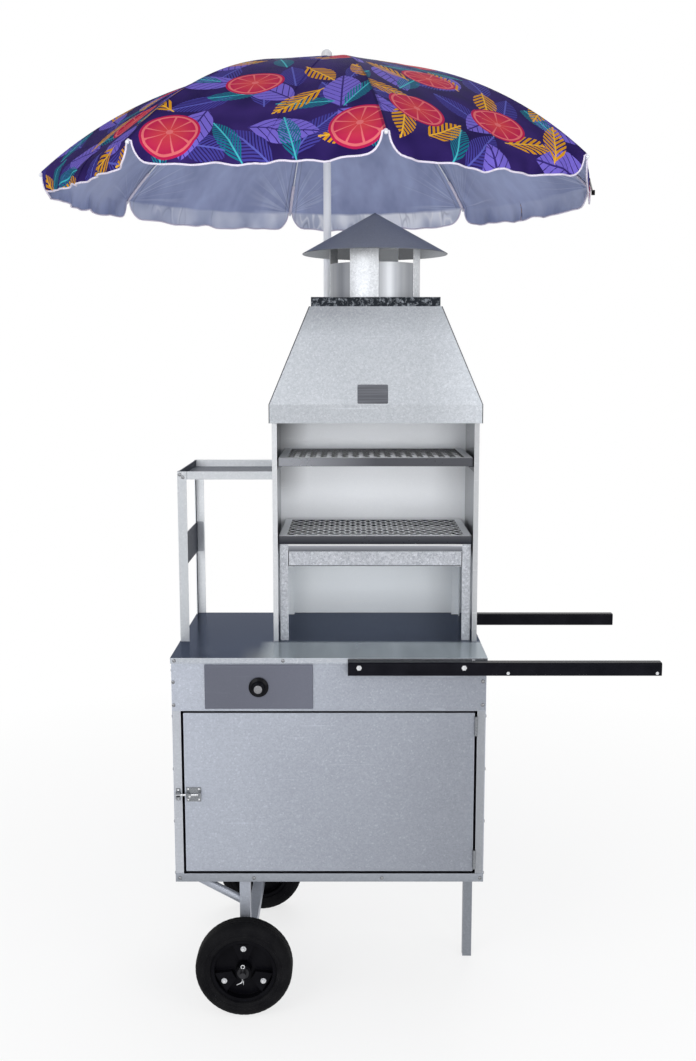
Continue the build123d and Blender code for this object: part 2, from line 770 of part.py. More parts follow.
with BuildPart() as chimney_pipe:
    with BuildSketch(Plane((fire_x, fire_y, collar_top))):
        Circle(pipe_radius)
        Circle(pipe_radius - pipe_wall, mode=Mode.SUBTRACT)
    extrude(amount=pipe_height)

with BuildPart() as under_cap:
    with Locations((fire_x, fire_y, collar_top)):
        Cylinder(cap_radius, cap_rim - collar_top, align=(Align.CENTER, Align.CENTER, Align.MIN))
    with Locations((fire_x, fire_y, cap_rim)):
        Cone(cap_radius, 0, cap_rise, align=(Align.CENTER, Align.CENTER, Align.MIN))

with BuildPart() as cap_straps:
    with BuildSketch(Plane((fire_x, fire_y, collar_top))):
        with PolarLocations(0, strap_count, start_angle=strap_turn - 90):
            Rectangle(cap_radius, strap_width, align=(Align.MIN, Align.CENTER))
        Circle(pipe_radius + strap_seat + strap_thick, mode=Mode.INTERSECT)
        Circle(pipe_radius + strap_seat, mode=Mode.SUBTRACT)
    extrude(amount=cap_rise + pipe_height)
    add(under_cap.part, mode=Mode.INTERSECT)

with BuildPart() as chimney_cap:
    with BuildSketch(Plane(origin=(fire_x, fire_y, cap_rim), x_dir=(1, 0, 0), z_dir=(0, -1, 0))):
        with BuildLine():
            Polyline(
                (0, cap_rise), (cap_radius, 0), (cap_radius, cap_sheet), (0, cap_rise + cap_sheet), close=True
            )
        make_face()
    revolve(axis=Axis((fire_x, fire_y, cap_rim), (0, 0, 1)))

# Side shelf between two angle posts and the firebox
shelf_x = (body_left, fire_left)
shelf_y = (fire_front, back)
tray_rim_z = (shelf_top - shelf_rim, shelf_top)

with BuildPart() as shelf_tray:
    shelf_tray_x = (shelf_x[0] + shelf_leg_wall, shelf_x[1])
    shelf_tray_y = inset(shelf_y, shelf_leg_wall)
    block(shelf_tray_x, shelf_tray_y, tray_rim_z)
    block(
        inset(shelf_tray_x, shelf_sheet),
        inset(shelf_tray_y, shelf_sheet),
        (tray_rim_z[0] + shelf_sheet, shelf_top),
        mode=Mode.SUBTRACT,
    )

with BuildPart() as shelf_frame:
    for y, y_way in ((shelf_y[0], 1), (shelf_y[1], -1)):
        angle_bar(shelf_x[0], 1, y, y_way, shelf_leg, shelf_leg_wall, (table_height, shelf_top))
    block(
        span(shelf_x[0] + shelf_leg_wall, shelf_sheet),
        inset(shelf_y, shelf_leg_wall),
        span(shelf_plate_bottom, shelf_plate_height),
    )

# Umbrella pole, with its socket on the cabinet and a guide ring on the firebox
pole_top = rib_hinge_height - rib_eye_radius - rib_radius
pole_foot = Plane((pole_x, 0, pole_bottom))

with BuildPart() as umbrella_pole:
    with BuildSketch(pole_foot):
        Circle(pole_radius)
        Circle(pole_radius - pole_wall, mode=Mode.SUBTRACT)
    extrude(amount=pole_top - pole_bottom)


def pole_holder(low, height, seat_y):
    """A tube round the pole on a back plate, joined by a web."""
    with Locations((pole_x, 0, low)):
        Cylinder(socket_radius + socket_wall, height, align=(Align.CENTER, Align.CENTER, Align.MIN))
    plate_x = (pole_x - socket_plate_half, pole_x + socket_plate_half)
    block(plate_x, span(seat_y, socket_plate), (low, low + height))
    web_x = (pole_x - socket_web / 2, pole_x + socket_web / 2)
    block(web_x, (seat_y + socket_plate, -socket_radius), (low, low + height))


with BuildPart() as pole_socket:
    socket_floor = pole_bottom - socket_plate
    pole_holder(socket_floor, socket_height, body_back)
    pole_holder(ring_bottom, ring_height, back)
    with BuildSketch(pole_foot):
        Circle(socket_radius)
    extrude(amount=pole_top - pole_bottom, mode=Mode.SUBTRACT)


def rib_height(reach):
    """Height of the bent rib's middle line at a distance from the pole's axis."""
    return rib_hinge_height - rib_bend + sqrt(rib_bend**2 - reach**2)


def round_pole(master, index):
    """A copy of a piece drawn along +X, turned round the pole to the place of one rib."""
    turn = first_rib_angle + index * 360 / rib_count
    with BuildPart() as turned:
        with Locations(Location((pole_x, 0, 0), (0, 0, turn))):
            add(master.part)
    return turned


first_rib_angle = rib_turn - 90
radial_plane = Plane(origin=(0, 0, 0), x_dir=(1, 0, 0), z_dir=(0, -1, 0))
crown_slot = 2 * (rib_radius + crown_slot_play)
sleeve_radius = pole_radius + crown_play
rib_hinge_radius = sleeve_radius + crown_sleeve_wall + rib_eye_gap + rib_eye_radius
crown_radius = rib_hinge_radius + crown_edge
runner_pivot_radius = socket_radius + runner_wall + runner_lug_reach
rib_end = canopy_radius + tip_reach
rib_end_height = rib_height(rib_end)
stretcher_joint_height = rib_height(stretcher_reach) - stretcher_hang
stretcher_rise = stretcher_joint_height - runner_pivot_height
stretcher_run = stretcher_reach - runner_pivot_radius
stretcher_length = hypot(stretcher_rise, stretcher_run)
stretcher_slope = degrees(atan2(stretcher_rise, stretcher_run))

# Crown on the pole's top, with a slot and a pin for each rib, and the finial above the canopy
crown_top = rib_hinge_height + canopy_lift - rib_eye_thick / 8

with BuildPart() as umbrella_crown:
    with Locations((pole_x, 0, pole_top - crown_sleeve)):
        Cylinder(
            sleeve_radius + crown_sleeve_wall,
            crown_sleeve + crown_top - pole_top,
            align=(Align.CENTER, Align.CENTER, Align.MIN),
        )
    with Locations((pole_x, 0, pole_top)):
        Cylinder(crown_radius, crown_top - pole_top, align=(Align.CENTER, Align.CENTER, Align.MIN))
    with Locations((pole_x, 0, pole_top - crown_sleeve)):
        Cylinder(sleeve_radius, crown_sleeve, align=(Align.CENTER, Align.CENTER, Align.MIN), mode=Mode.SUBTRACT)
    slot_start = sleeve_radius + crown_sleeve_wall
    with Locations((pole_x, 0, pole_top)):
        with PolarLocations(slot_start, rib_count, start_angle=first_rib_angle):
            Box(
                crown_radius,
                crown_slot,
                2 * crown_radius,
                align=(Align.MIN, Align.CENTER, Align.CENTER),
                mode=Mode.SUBTRACT,
            )
    with Locations((pole_x, 0, rib_hinge_height)):
        with PolarLocations(rib_hinge_radius, rib_count, start_angle=first_rib_angle):
            Cylinder(rib_pin_radius, crown_slot + 2 * rib_pin_radius, rotation=(90, 0, 0))
    stem_top = rib_hinge_height + canopy_lift + canopy_thick + seat_gap
    with Locations((pole_x, 0, crown_top)):
        Cylinder(
            canopy_hole - seat_gap,
            stem_top - crown_top + finial_height / 2,
            align=(Align.CENTER, Align.CENTER, Align.MIN),
        )
    with BuildSketch(Plane(origin=(pole_x, 0, stem_top), x_dir=(1, 0, 0), z_dir=(0, -1, 0))):
        with BuildLine():
            dome_start = finial_height - finial_radius
            Polyline((0, finial_height), (0, 0), (finial_radius, 0), (finial_radius, dome_start))
            CenterArc((0, dome_start), finial_radius, 0, 90)
        make_face()
    revolve(axis=Axis((pole_x, 0, stem_top), (0, 0, 1)))

# Runner that slides on the pole, with a lug and a pin for each stretcher
with BuildPart() as umbrella_runner:
    runner_top = runner_pivot_height + stretcher_height
    outer_radius = socket_radius + runner_wall
    with BuildSketch(Plane((pole_x, 0, runner_top - runner_length))):
        Circle(outer_radius)
    extrude(amount=runner_length)
    with Locations((pole_x, 0, runner_pivot_height)):
        with PolarLocations(socket_radius + runner_wall / 2, rib_count, start_angle=first_rib_angle):
            lug_length = runner_pivot_radius + 2 * stretcher_pin_radius - socket_radius - runner_wall / 2
            Box(lug_length, runner_lug, stretcher_height * 0.9, align=(Align.MIN, Align.CENTER, Align.CENTER))
        with PolarLocations(runner_pivot_radius, rib_count, start_angle=first_rib_angle):
            Cylinder(stretcher_pin_radius, stretcher_gap + 3 * stretcher_cheek, rotation=(90, 0, 0))
    with BuildSketch(Plane((pole_x, 0, runner_top - runner_length))):
        Circle(socket_radius)
    extrude(amount=runner_length, mode=Mode.SUBTRACT)

# One rib and one stretcher, drawn along +X, then copied round the pole
with BuildPart() as rib_master:
    with BuildLine(radial_plane) as rib_path:
        rib_start = rib_hinge_radius + rib_eye_radius * 0.9
        ThreePointArc(
            (rib_start, rib_height(rib_start)),
            (rib_end / 2, rib_height(rib_end / 2)),
            (rib_end, rib_end_height),
        )
    with BuildSketch(Plane(origin=rib_path.line @ 0, z_dir=rib_path.line % 0)):
        Circle(rib_radius)
    sweep()
    with BuildSketch(radial_plane.offset(-rib_eye_thick / 2)):
        with Locations((rib_hinge_radius, rib_hinge_height)):
            Circle(rib_eye_radius)
    extrude(amount=rib_eye_thick)
    with Locations((rib_end, 0, rib_end_height)):
        Sphere(tip_radius)
    with BuildSketch(radial_plane.offset(-rib_eye_thick)):
        with Locations((rib_hinge_radius, rib_hinge_height)):
            Circle(rib_pin_radius + pin_play)
    extrude(amount=2 * rib_eye_thick, mode=Mode.SUBTRACT)

with BuildPart() as stretcher_master:
    pivot = Vector(runner_pivot_radius, runner_pivot_height)
    along = Vector(stretcher_run, stretcher_rise).normalized()
    across = Vector(-along.Y, along.X)
    for cheek_start in (stretcher_gap / 2, -stretcher_gap / 2 - stretcher_cheek):
        with BuildSketch(radial_plane.offset(cheek_start)):
            with Locations(pivot + along * (stretcher_length / 2)):
                SlotCenterToCenter(stretcher_length, stretcher_height, rotation=stretcher_slope)
            with Locations(pivot):
                Circle(stretcher_pin_radius + pin_play, mode=Mode.SUBTRACT)
        extrude(amount=stretcher_cheek)
    web_length = stretcher_length - stretcher_web_start - stretcher_web_end
    web_middle = pivot + along * (stretcher_web_start + web_length / 2)
    web_middle = web_middle - across * ((stretcher_height - stretcher_cheek) / 2)
    with BuildSketch(radial_plane.offset(-stretcher_gap / 2)):
        with Locations(web_middle):
            Rectangle(web_length, stretcher_cheek, rotation=stretcher_slope)
    extrude(amount=stretcher_gap)

ribs = [round_pole(rib_master, index) for index in range(rib_count)]
stretchers = [round_pole(stretcher_master, index) for index in range(rib_count)]

# Canopy: taut panels between the ribs, with a hanging valance along each edge
half_panel = 180 / rib_count
panel_cos = cos(radians(half_panel))
panel_sin = sin(radians(half_panel))
cloth_inner = rib_bend + canopy_lift
cloth_outer = cloth_inner + canopy_thick
bend_middle = rib_hinge_height - rib_bend
edge_distance = canopy_radius * panel_cos
half_edge = canopy_radius * panel_sin
edge_top = bend_middle + sqrt(cloth_outer**2 - canopy_radius**2)

with BuildPart() as canopy_wedge:
    with BuildSketch(Plane.XY.offset(bend_middle)):
        Polygon((0, 0), (edge_distance, -half_edge), (edge_distance, half_edge), align=None)
    extrude(amount=rib_bend + finial_height)

with BuildPart() as canopy_panel:
    with BuildSketch(radial_plane):
        with BuildLine():
            arcs = []
            for bend in (cloth_inner, cloth_outer):
                edge_angle = degrees(acos(canopy_radius / bend))
                sweep_angle = 90 - edge_angle
                panel_bend = EllipticalCenterArc(
                    (0, bend_middle), bend * panel_cos, bend, start_angle=edge_angle, arc_size=sweep_angle
                )
                arcs.append(panel_bend)
            Line(arcs[0] @ 0, arcs[1] @ 0)
            Line(arcs[0] @ 1, arcs[1] @ 1)
        make_face()
    extrude(amount=half_edge, both=True)
    add(canopy_wedge.part, mode=Mode.INTERSECT)
    with BuildSketch(Plane(origin=(edge_distance, 0, edge_top), x_dir=(0, 1, 0), z_dir=(1, 0, 0))):
        with BuildLine():
            valance_half = half_edge - valance_notch
            Polyline(
                (-valance_half, -valance_depth + valance_corner),
                (-valance_half, -canopy_thick),
                (valance_half, -canopy_thick),
                (valance_half, -valance_depth + valance_corner),
            )
            RadiusArc(
                (valance_half, -valance_depth + valance_corner),
                (valance_half - valance_corner, -valance_depth),
                valance_corner,
            )
            Line(
                (valance_half - valance_corner, -valance_depth),
                (-valance_half + valance_corner, -valance_depth),
            )
            RadiusArc(
                (-valance_half + valance_corner, -valance_depth),
                (-valance_half, -valance_depth + valance_corner),
                valance_corner,
            )
        make_face()
    extrude(amount=-canopy_thick)

with BuildPart() as umbrella_canopy:
    with Locations((pole_x, 0, 0)):
        with PolarLocations(0, rib_count, start_angle=first_rib_angle + half_panel):
            add(canopy_panel.part)
    with Locations((pole_x, 0, rib_hinge_height)):
        Cylinder(canopy_hole, 4 * finial_height, mode=Mode.SUBTRACT)

nodes = {
    "table_top": table_top,
    "corner_posts": corner_posts,
    "left_side_panel": left_side_panel,
    "right_side_panel": right_side_panel,
    "back_panel": back_panel,
    "floor_panel": floor_panel,
    "front_apron": front_apron,
    "drawer": drawer,
    "drawer_runners": drawer_runners,
    "drawer_knob": drawer_knob,
    "door_panel": door_panel,
    "hinge_leaves_door": hinge_leaves_door,
    "hinge_leaves_fixed": hinge_leaves_fixed,
    "latch_plate": latch_plate,
    "latch_bolt": latch_bolt,
    "latch_keeper": latch_keeper,
    "push_handles": push_handles,
    "handle_bolts": handle_bolts,
    "prop_leg": prop_leg,
    "axle_frame": axle_frame,
    "axle": axle,
    "firebox_left_wall": firebox_left_wall,
    "firebox_right_wall": firebox_right_wall,
    "firebox_back_wall": firebox_back_wall,
    "grill_rails": grill_rails,
    "upper_grill": upper_grill,
    "lower_grill": lower_grill,
    "fire_stand": fire_stand,
    "charcoal_tray": charcoal_tray,
    "hood": hood,
    "chimney_pipe": chimney_pipe,
    "cap_straps": cap_straps,
    "chimney_cap": chimney_cap,
    "shelf_tray": shelf_tray,
    "shelf_frame": shelf_frame,
    "pole_socket": pole_socket,
    "umbrella_pole": umbrella_pole,
    "umbrella_crown": umbrella_crown,
    "umbrella_runner": umbrella_runner,
    "umbrella_canopy": umbrella_canopy,
}
for end in wheel_ys:
    nodes[f"tyre_{end}"] = tyres[end]
    nodes[f"rim_{end}"] = rims[end]
for index in range(rib_count):
    nodes[f"rib_{index + 1}"] = ribs[index]
    nodes[f"stretcher_{index + 1}"] = stretchers[index]

os.makedirs("parts", exist_ok=True)
for name, piece in nodes.items():
    piece.part.label = name
    export_step(piece.part, f"parts/{name}.step")
print(len(nodes), "pieces written")
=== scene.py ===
import bpy
import bmesh
import math
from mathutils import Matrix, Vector
from mathutils.bvhtree import BVHTree


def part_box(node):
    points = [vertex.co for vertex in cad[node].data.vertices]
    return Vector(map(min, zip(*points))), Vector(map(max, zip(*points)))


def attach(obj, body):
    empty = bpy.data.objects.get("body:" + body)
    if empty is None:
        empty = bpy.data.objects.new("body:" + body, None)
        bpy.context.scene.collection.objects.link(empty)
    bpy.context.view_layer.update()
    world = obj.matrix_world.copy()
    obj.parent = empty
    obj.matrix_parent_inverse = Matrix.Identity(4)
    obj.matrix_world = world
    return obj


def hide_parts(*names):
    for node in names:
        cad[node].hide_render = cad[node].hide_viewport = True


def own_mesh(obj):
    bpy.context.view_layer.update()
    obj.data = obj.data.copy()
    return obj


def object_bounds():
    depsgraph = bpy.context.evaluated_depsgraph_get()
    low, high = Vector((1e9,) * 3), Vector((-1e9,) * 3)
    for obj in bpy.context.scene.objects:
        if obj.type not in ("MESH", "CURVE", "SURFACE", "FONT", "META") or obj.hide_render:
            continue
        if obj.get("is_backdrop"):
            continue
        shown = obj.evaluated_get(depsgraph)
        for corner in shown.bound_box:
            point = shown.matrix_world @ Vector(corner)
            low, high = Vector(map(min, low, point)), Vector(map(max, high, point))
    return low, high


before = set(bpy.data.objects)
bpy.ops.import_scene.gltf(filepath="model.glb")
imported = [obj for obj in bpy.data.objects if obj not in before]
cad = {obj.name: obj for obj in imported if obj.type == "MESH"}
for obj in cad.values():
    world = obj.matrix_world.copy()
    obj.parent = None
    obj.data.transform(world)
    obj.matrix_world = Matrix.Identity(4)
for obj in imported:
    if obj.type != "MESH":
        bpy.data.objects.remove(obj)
for spare in ("Cube", "Light", "Camera"):
    if spare in bpy.data.objects:
        bpy.data.objects.remove(bpy.data.objects[spare])
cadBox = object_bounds()
scene = bpy.context.scene
scene.view_settings.view_transform = "Standard"
print("frame loaded", len(cad), "nodes")


# helpers for node trees

def feed(tree, socket, source):
    # a source is a node's output socket or a plain value
    if isinstance(source, bpy.types.NodeSocket):
        tree.links.new(source, socket)
    else:
        socket.default_value = source


def addNode(tree, kind, inputs=None, **settings):
    # inputs are fed by their names or numbers
    node = tree.nodes.new(kind)
    for key, value in settings.items():
        setattr(node, key, value)
    for key, source in (inputs or {}).items():
        feed(tree, node.inputs[key], source)
    return node


def calc(tree, operation, *terms, clamp=False):
    node = addNode(tree, "ShaderNodeMath", dict(enumerate(terms)), operation=operation, use_clamp=clamp)
    return node.outputs[0]


def vectorCalc(tree, operation, *terms):
    return addNode(tree, "ShaderNodeVectorMath", dict(enumerate(terms)), operation=operation).outputs


def split(tree, vector):
    return addNode(tree, "ShaderNodeSeparateXYZ", {0: vector}).outputs


def combine(tree, x, y, z):
    return addNode(tree, "ShaderNodeCombineXYZ", {0: x, 1: y, 2: z}).outputs[0]


def mixColour(tree, amount, a, b, blendType="MIX"):
    # a colour is an output socket or its red, green and blue
    a, b = [(*tint, 1) if isinstance(tint, tuple) else tint for tint in (a, b)]
    node = addNode(tree, "ShaderNodeMix", {"Factor": amount, 6: a, 7: b}, data_type="RGBA",
                   blend_type=blendType)
    return node.outputs[2]


def remap(tree, value, low, high, toLow=0.0, toHigh=1.0):
    node = addNode(tree, "ShaderNodeMapRange", dict(enumerate((value, low, high, toLow, toHigh))))
    return node.outputs[0]


def stretched(tree, vector, scale, turn=(0, 0, 0)):
    return addNode(tree, "ShaderNodeMapping", {"Vector": vector, "Scale": scale, "Rotation": turn}).outputs[0]


def noise(tree, vector, scale, detail=2.0, rough=0.5):
    inputs = {"Vector": vector, "Scale": scale, "Detail": detail, "Roughness": rough}
    return addNode(tree, "ShaderNodeTexNoise", inputs).outputs["Fac"]


def diagonalBands(tree, vector, scale, distortion=0.0):
    inputs = {"Vector": vector, "Scale": scale, "Distortion": distortion}
    bands = addNode(tree, "ShaderNodeTexWave", inputs, wave_type="BANDS", bands_direction="DIAGONAL")
    return bands.outputs["Fac"]


def attributeOf(tree, name):
    return addNode(tree, "ShaderNodeAttribute", attribute_name=name).outputs


def nodeGroup(name, treeKind, inputs, outputs):
    # gives the tree, the sockets that bring values in and the sockets that take results out
    tree = bpy.data.node_groups.new(name, treeKind)
    for way, sockets in (("INPUT", inputs), ("OUTPUT", outputs)):
        for label, kind in sockets.items():
            tree.interface.new_socket(name=label, in_out=way, socket_type="NodeSocket" + kind)
    return tree, addNode(tree, "NodeGroupInput").outputs, addNode(tree, "NodeGroupOutput").inputs


def shaderGroup(name, vectors, numbers, results):
    inputs = {**dict.fromkeys(vectors, "Vector"), **dict.fromkeys(numbers, "Float")}
    return nodeGroup(name, "ShaderNodeTree", inputs, dict.fromkeys(results, "Float"))


def placeGroup(tree, group, **values):
    return addNode(tree, "ShaderNodeGroup", values, node_tree=group).outputs


def newFinish(name, constants=None):
    # constants go on the shader's own sockets
    finish = bpy.data.materials.new(name)
    finish.use_nodes = True
    tree = finish.node_tree
    tree.nodes.clear()
    bsdf = addNode(tree, "ShaderNodeBsdfPrincipled", constants)
    addNode(tree, "ShaderNodeOutputMaterial", {"Surface": bsdf.outputs[0]})
    where = addNode(tree, "ShaderNodeTexCoord").outputs["Object"]
    return finish, tree, bsdf.inputs, where


def bumpOn(tree, shader, height, strength, distance, edge=0.0):
    inputs = {"Strength": strength, "Distance": distance, "Height": height}
    if edge:
        # folded and cut edges are a little round, so they catch the light
        inputs["Normal"] = addNode(tree, "ShaderNodeBevel", {"Radius": edge}, samples=4).outputs[0]
    feed(tree, shader["Normal"], addNode(tree, "ShaderNodeBump", inputs).outputs[0])


# helpers for meshes

def linked(name, data):
    item = bpy.data.objects.new(name, data)
    scene.collection.objects.link(item)
    return item


def meshPiece(name, mesh, coats, smooth):
    for coat in coats:
        mesh.materials.append(coat)
    mesh.polygons.foreach_set("use_smooth", [smooth] * len(mesh.polygons))
    return linked(name, mesh)


def pointPiece(name, points, faces, coats, faceCoats=None, smooth=True):
    mesh = bpy.data.meshes.new(name)
    mesh.from_pydata([tuple(p) for p in points], [], faces)
    piece = meshPiece(name, mesh, coats, smooth)
    if faceCoats:
        mesh.polygons.foreach_set("material_index", faceCoats)
    mesh.update()
    return piece


def skinPiece(name, skins, coats, smooth=False, caps=True):
    # a skin is a list of rings of points; without caps its last ring joins its first
    work = bmesh.new()
    for skin in skins:
        rings = [[work.verts.new(spot) for spot in ring] for ring in skin]
        for a, b in zip(rings, rings[1:] if caps else rings[1:] + rings[:1]):
            for q in range(len(a)):
                on = (q + 1) % len(a)
                work.faces.new((a[q], a[on], b[on], b[q]))
        if caps:
            work.faces.new(rings[0][::-1])
            work.faces.new(rings[-1])
    bmesh.ops.remove_doubles(work, verts=work.verts, dist=1e-6)
    bmesh.ops.recalc_face_normals(work, faces=work.faces)
    mesh = bpy.data.meshes.new(name)
    work.to_mesh(mesh)
    work.free()
    return meshPiece(name, mesh, coats, smooth)


def ringAround(centre, across, up, count):
    turns = [math.tau * k / count for k in range(count)]
    return [centre + across * math.cos(a) + up * math.sin(a) for a in turns]


def tubeAlong(path, radius, sides=8):
    # rings of a round wire along a list of points, squared up by a direction that no wire runs in
    aside = Vector((0.31, 0.87, 0.39))
    rings = []
    for k, spot in enumerate(path):
        ahead = (path[min(k + 1, len(path) - 1)] - path[max(k - 1, 0)]).normalized()
        across = ahead.cross(aside).normalized()
        rings.append(ringAround(spot, across * radius, ahead.cross(across) * radius, sides))
    return rings


def markPoints(mesh, name, kind, values):
    layer = mesh.attributes.new(name, kind, "POINT")
    for item, value in zip(layer.data, values):
        setattr(item, "value" if kind == "FLOAT" else "vector", value)


def sharpenEdges(mesh, isSharp):
    layer = mesh.attributes.new("sharp_edge", "BOOLEAN", "EDGE")
    for edge in mesh.edges:
        layer.data[edge.index].value = isSharp(tuple(sorted(edge.vertices)))


def roundFolds(piece, width):
    bevel = piece.modifiers.new("foldRadius", "BEVEL")
    bevel.width = width
    bevel.segments = 2
    bevel.limit_method = "ANGLE"


def settle(piece, body):
    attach(piece, body)


# studio: camera, pale floor, soft light

studio = {
    "eye": (0.0384, -3.4926, 1.6864), "pitch": 0.145, "lens": 40.47, "sensor": 36.0, "shift": -0.0036,
    "sight": 100,
    "ambient": 0.58, "floorTone": (0.86, 0.865, 0.87), "floorHalf": 25,
    "floorFade": (0.7, 2.6, 0.72),  # where it starts, where it ends, the share of white at its start
    "lamps": {  # place, size and power
        "keySoftbox": ((-2.4, -3.8, 3.2), 2.6, 62),
        "fillSoftbox": ((2.8, -3.5, 2.3), 2.4, 36),
        "frontSoftbox": ((0.3, -5.0, 1.5), 2.4, 110),
        "backSoftbox": ((0.5, 2.6, 3.9), 2.2, 48),
    },
    "unmirrored": ("frontSoftbox",),
    "aim": (0.0, -0.25, 1.2),
}
lens = bpy.data.cameras.new("photoCamera")
lens.lens = studio["lens"]
lens.sensor_width = studio["sensor"]
lens.shift_x = studio["shift"]
lens.clip_end = studio["sight"]
camera = linked("photoCamera", lens)
camera.location = studio["eye"]
camera.rotation_euler = (math.pi / 2 - studio["pitch"], 0, 0)
scene.camera = camera

for lampName, (place, size, power) in studio["lamps"].items():
    lamp = bpy.data.lights.new(lampName, "AREA")
    lamp.size = size
    lamp.energy = power
    softbox = linked(lampName, lamp)
    softbox.location = place
    softbox.visible_glossy = lampName not in studio["unmirrored"]
    away = Vector(studio["aim"]) - Vector(place)
    softbox.rotation_euler = away.to_track_quat("-Z", "Y").to_euler()


def seenPlainly(tree):
    # 1 where the camera sees a thing, also by a mirror or through something clear
    path = addNode(tree, "ShaderNodeLightPath").outputs
    seen = calc(tree, "MAXIMUM", path["Is Camera Ray"], path["Is Glossy Ray"])
    return calc(tree, "MAXIMUM", seen, path["Is Transmission Ray"])


def floorFinish():
    # seen by the camera, it fades into plain white away from the cart
    finish, tree, shader, where = newFinish("paleFloor", {
        "Base Color": (*studio["floorTone"], 1), "Roughness": 0.9, "Specular IOR Level": 0.1})
    fade = remap(tree, vectorCalc(tree, "LENGTH", where)["Value"], *studio["floorFade"])
    share = calc(tree, "MULTIPLY", seenPlainly(tree), fade)
    lit = tree.nodes["Principled BSDF"].outputs[0]
    white = addNode(tree, "ShaderNodeEmission", {"Color": (1, 1, 1, 1)}).outputs[0]
    blended = addNode(tree, "ShaderNodeMixShader", {0: share, 1: lit, 2: white}).outputs[0]
    feed(tree, tree.nodes["Material Output"].inputs["Surface"], blended)
    return finish


world = bpy.data.worlds.new("studioWorld")
scene.world = world
world.use_nodes = True
sky = world.node_tree
sky.nodes.clear()
strength = remap(sky, seenPlainly(sky), 0.0, 1.0, studio["ambient"])
glow = addNode(sky, "ShaderNodeBackground", {"Color": (1, 1, 1, 1), "Strength": strength})
addNode(sky, "ShaderNodeOutputWorld", {"Surface": glow.outputs[0]})

reach = studio["floorHalf"]
floorCorners = [(-reach, -reach, 0), (reach, -reach, 0), (reach, reach, 0), (-reach, reach, 0)]
floor = pointPiece("studioFloor", floorCorners, [(0, 1, 2, 3)], [floorFinish()], smooth=False)
floor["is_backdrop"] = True
print("studio ready")


# shared surface effects

def makeZincSkin():
    # fine speckle over zinc crystals, a few of which carry a painted sparkle
    group, given, result = shaderGroup("zincSkin", ["Where"], ["Speckle", "Spangle", "Contrast"],
                                       ["Tone", "Haze", "Grain"])
    where = given["Where"]
    fine = noise(group, where, given["Speckle"], 3.0, 0.65)
    crystals = addNode(group, "ShaderNodeTexVoronoi", {"Vector": where, "Scale": given["Spangle"]})
    flake = addNode(group, "ShaderNodeSeparateColor", {0: crystals.outputs["Color"]}).outputs
    cloud = noise(group, where, 5.0, 3.0, 0.55)
    paintedGlint = calc(group, "GREATER_THAN", flake[2], 0.95)
    tone = calc(group, "MULTIPLY", calc(group, "SUBTRACT", fine, 0.5), 2.2)
    tone = calc(group, "MULTIPLY_ADD", calc(group, "SUBTRACT", flake[0], 0.5), 0.6, tone)
    tone = calc(group, "MULTIPLY_ADD", paintedGlint, 0.6, tone)
    tone = calc(group, "MULTIPLY", tone, given["Contrast"])
    tone = calc(group, "MULTIPLY_ADD", calc(group, "SUBTRACT", cloud, 0.5), 0.35, tone)
    feed(group, result["Tone"], calc(group, "ADD", tone, 0.5, clamp=True))
    haze = calc(group, "MULTIPLY_ADD", flake[1], 0.35, calc(group, "MULTIPLY", cloud, 0.65))
    feed(group, result["Haze"], haze)
    feed(group, result["Grain"], calc(group, "MULTIPLY_ADD", flake[2], 0.25, fine))
    return group


def makeHandlingWear():
    # faint smears and hairline scratches
    group, given, result = shaderGroup("handlingWear", ["Where"], ["Hairlines"], ["Scratch", "Smear"])
    where = given["Where"]
    drawn = stretched(group, where, (0.04, 0.04, 1.0), (0.35, 0.25, 0))
    line = remap(group, noise(group, drawn, given["Hairlines"], 1.0), 0.68, 0.74)
    patch = remap(group, noise(group, where, 9.0, 2.0), 0.45, 0.65)
    feed(group, result["Scratch"], calc(group, "MULTIPLY", line, patch))
    wiped = stretched(group, where, (1.0, 1.0, 0.25))
    feed(group, result["Smear"], noise(group, wiped, 14.0, 3.0, 0.6))
    return group


def makeEdgeHighlightMask():
    # a mask along folds and cut edges, where a painted highlight lightens the zinc
    group, given, result = shaderGroup("paintedEdgeHighlight", [], ["Reach"], ["Edge"])
    rounded = addNode(group, "ShaderNodeBevel", {"Radius": given["Reach"]}, samples=6).outputs[0]
    facing = addNode(group, "ShaderNodeNewGeometry").outputs["Normal"]
    match = vectorCalc(group, "DOT_PRODUCT", rounded, facing)["Value"]
    feed(group, result["Edge"], remap(group, match, 0.985, 0.8))
    return group


zincSkin = makeZincSkin()
handlingWear = makeHandlingWear()
paintedEdgeHighlight = makeEdgeHighlightMask()


# finishes of sheet, metal and mouldings; a zone is a part of a sheet with its own tone, tints or metal share

def placed(axis, start, full):
    # a zone's limit by place: where it starts and where it is full
    return "spot", axis, start, full


def faced(axis, start, full):
    # a zone's limit by the way that the sheet faces
    return "face", axis, start, full


def leaning(start, full):
    # a zone's limit by how far the sheet leans from upright
    return "lean", "Z", start, full


def zone(*limits, **look):
    return {"limits": limits, **look}


def zoneShare(tree, sources, where, part):
    share = 1.0
    for what, axis, start, full in part["limits"]:
        share = calc(tree, "MULTIPLY", share, remap(tree, sources[what][axis], start, full))
    if "streaks" in part:
        bands = noise(tree, stretched(tree, where, (1.0, 0.12, 1.0)), 11.0, 2.0)
        share = calc(tree, "MULTIPLY", share, remap(tree, bands, 0.3, 0.7, 1.0 - part["streaks"]))
    if "every" in part:
        begin, pitch = part["every"]
        turn = calc(tree, "SUBTRACT", sources["spot"]["X"], begin)
        turn = calc(tree, "COSINE", calc(tree, "MULTIPLY", turn, math.tau / pitch))
        share = calc(tree, "MULTIPLY", share, remap(tree, turn, -0.1, 0.6))
    return share


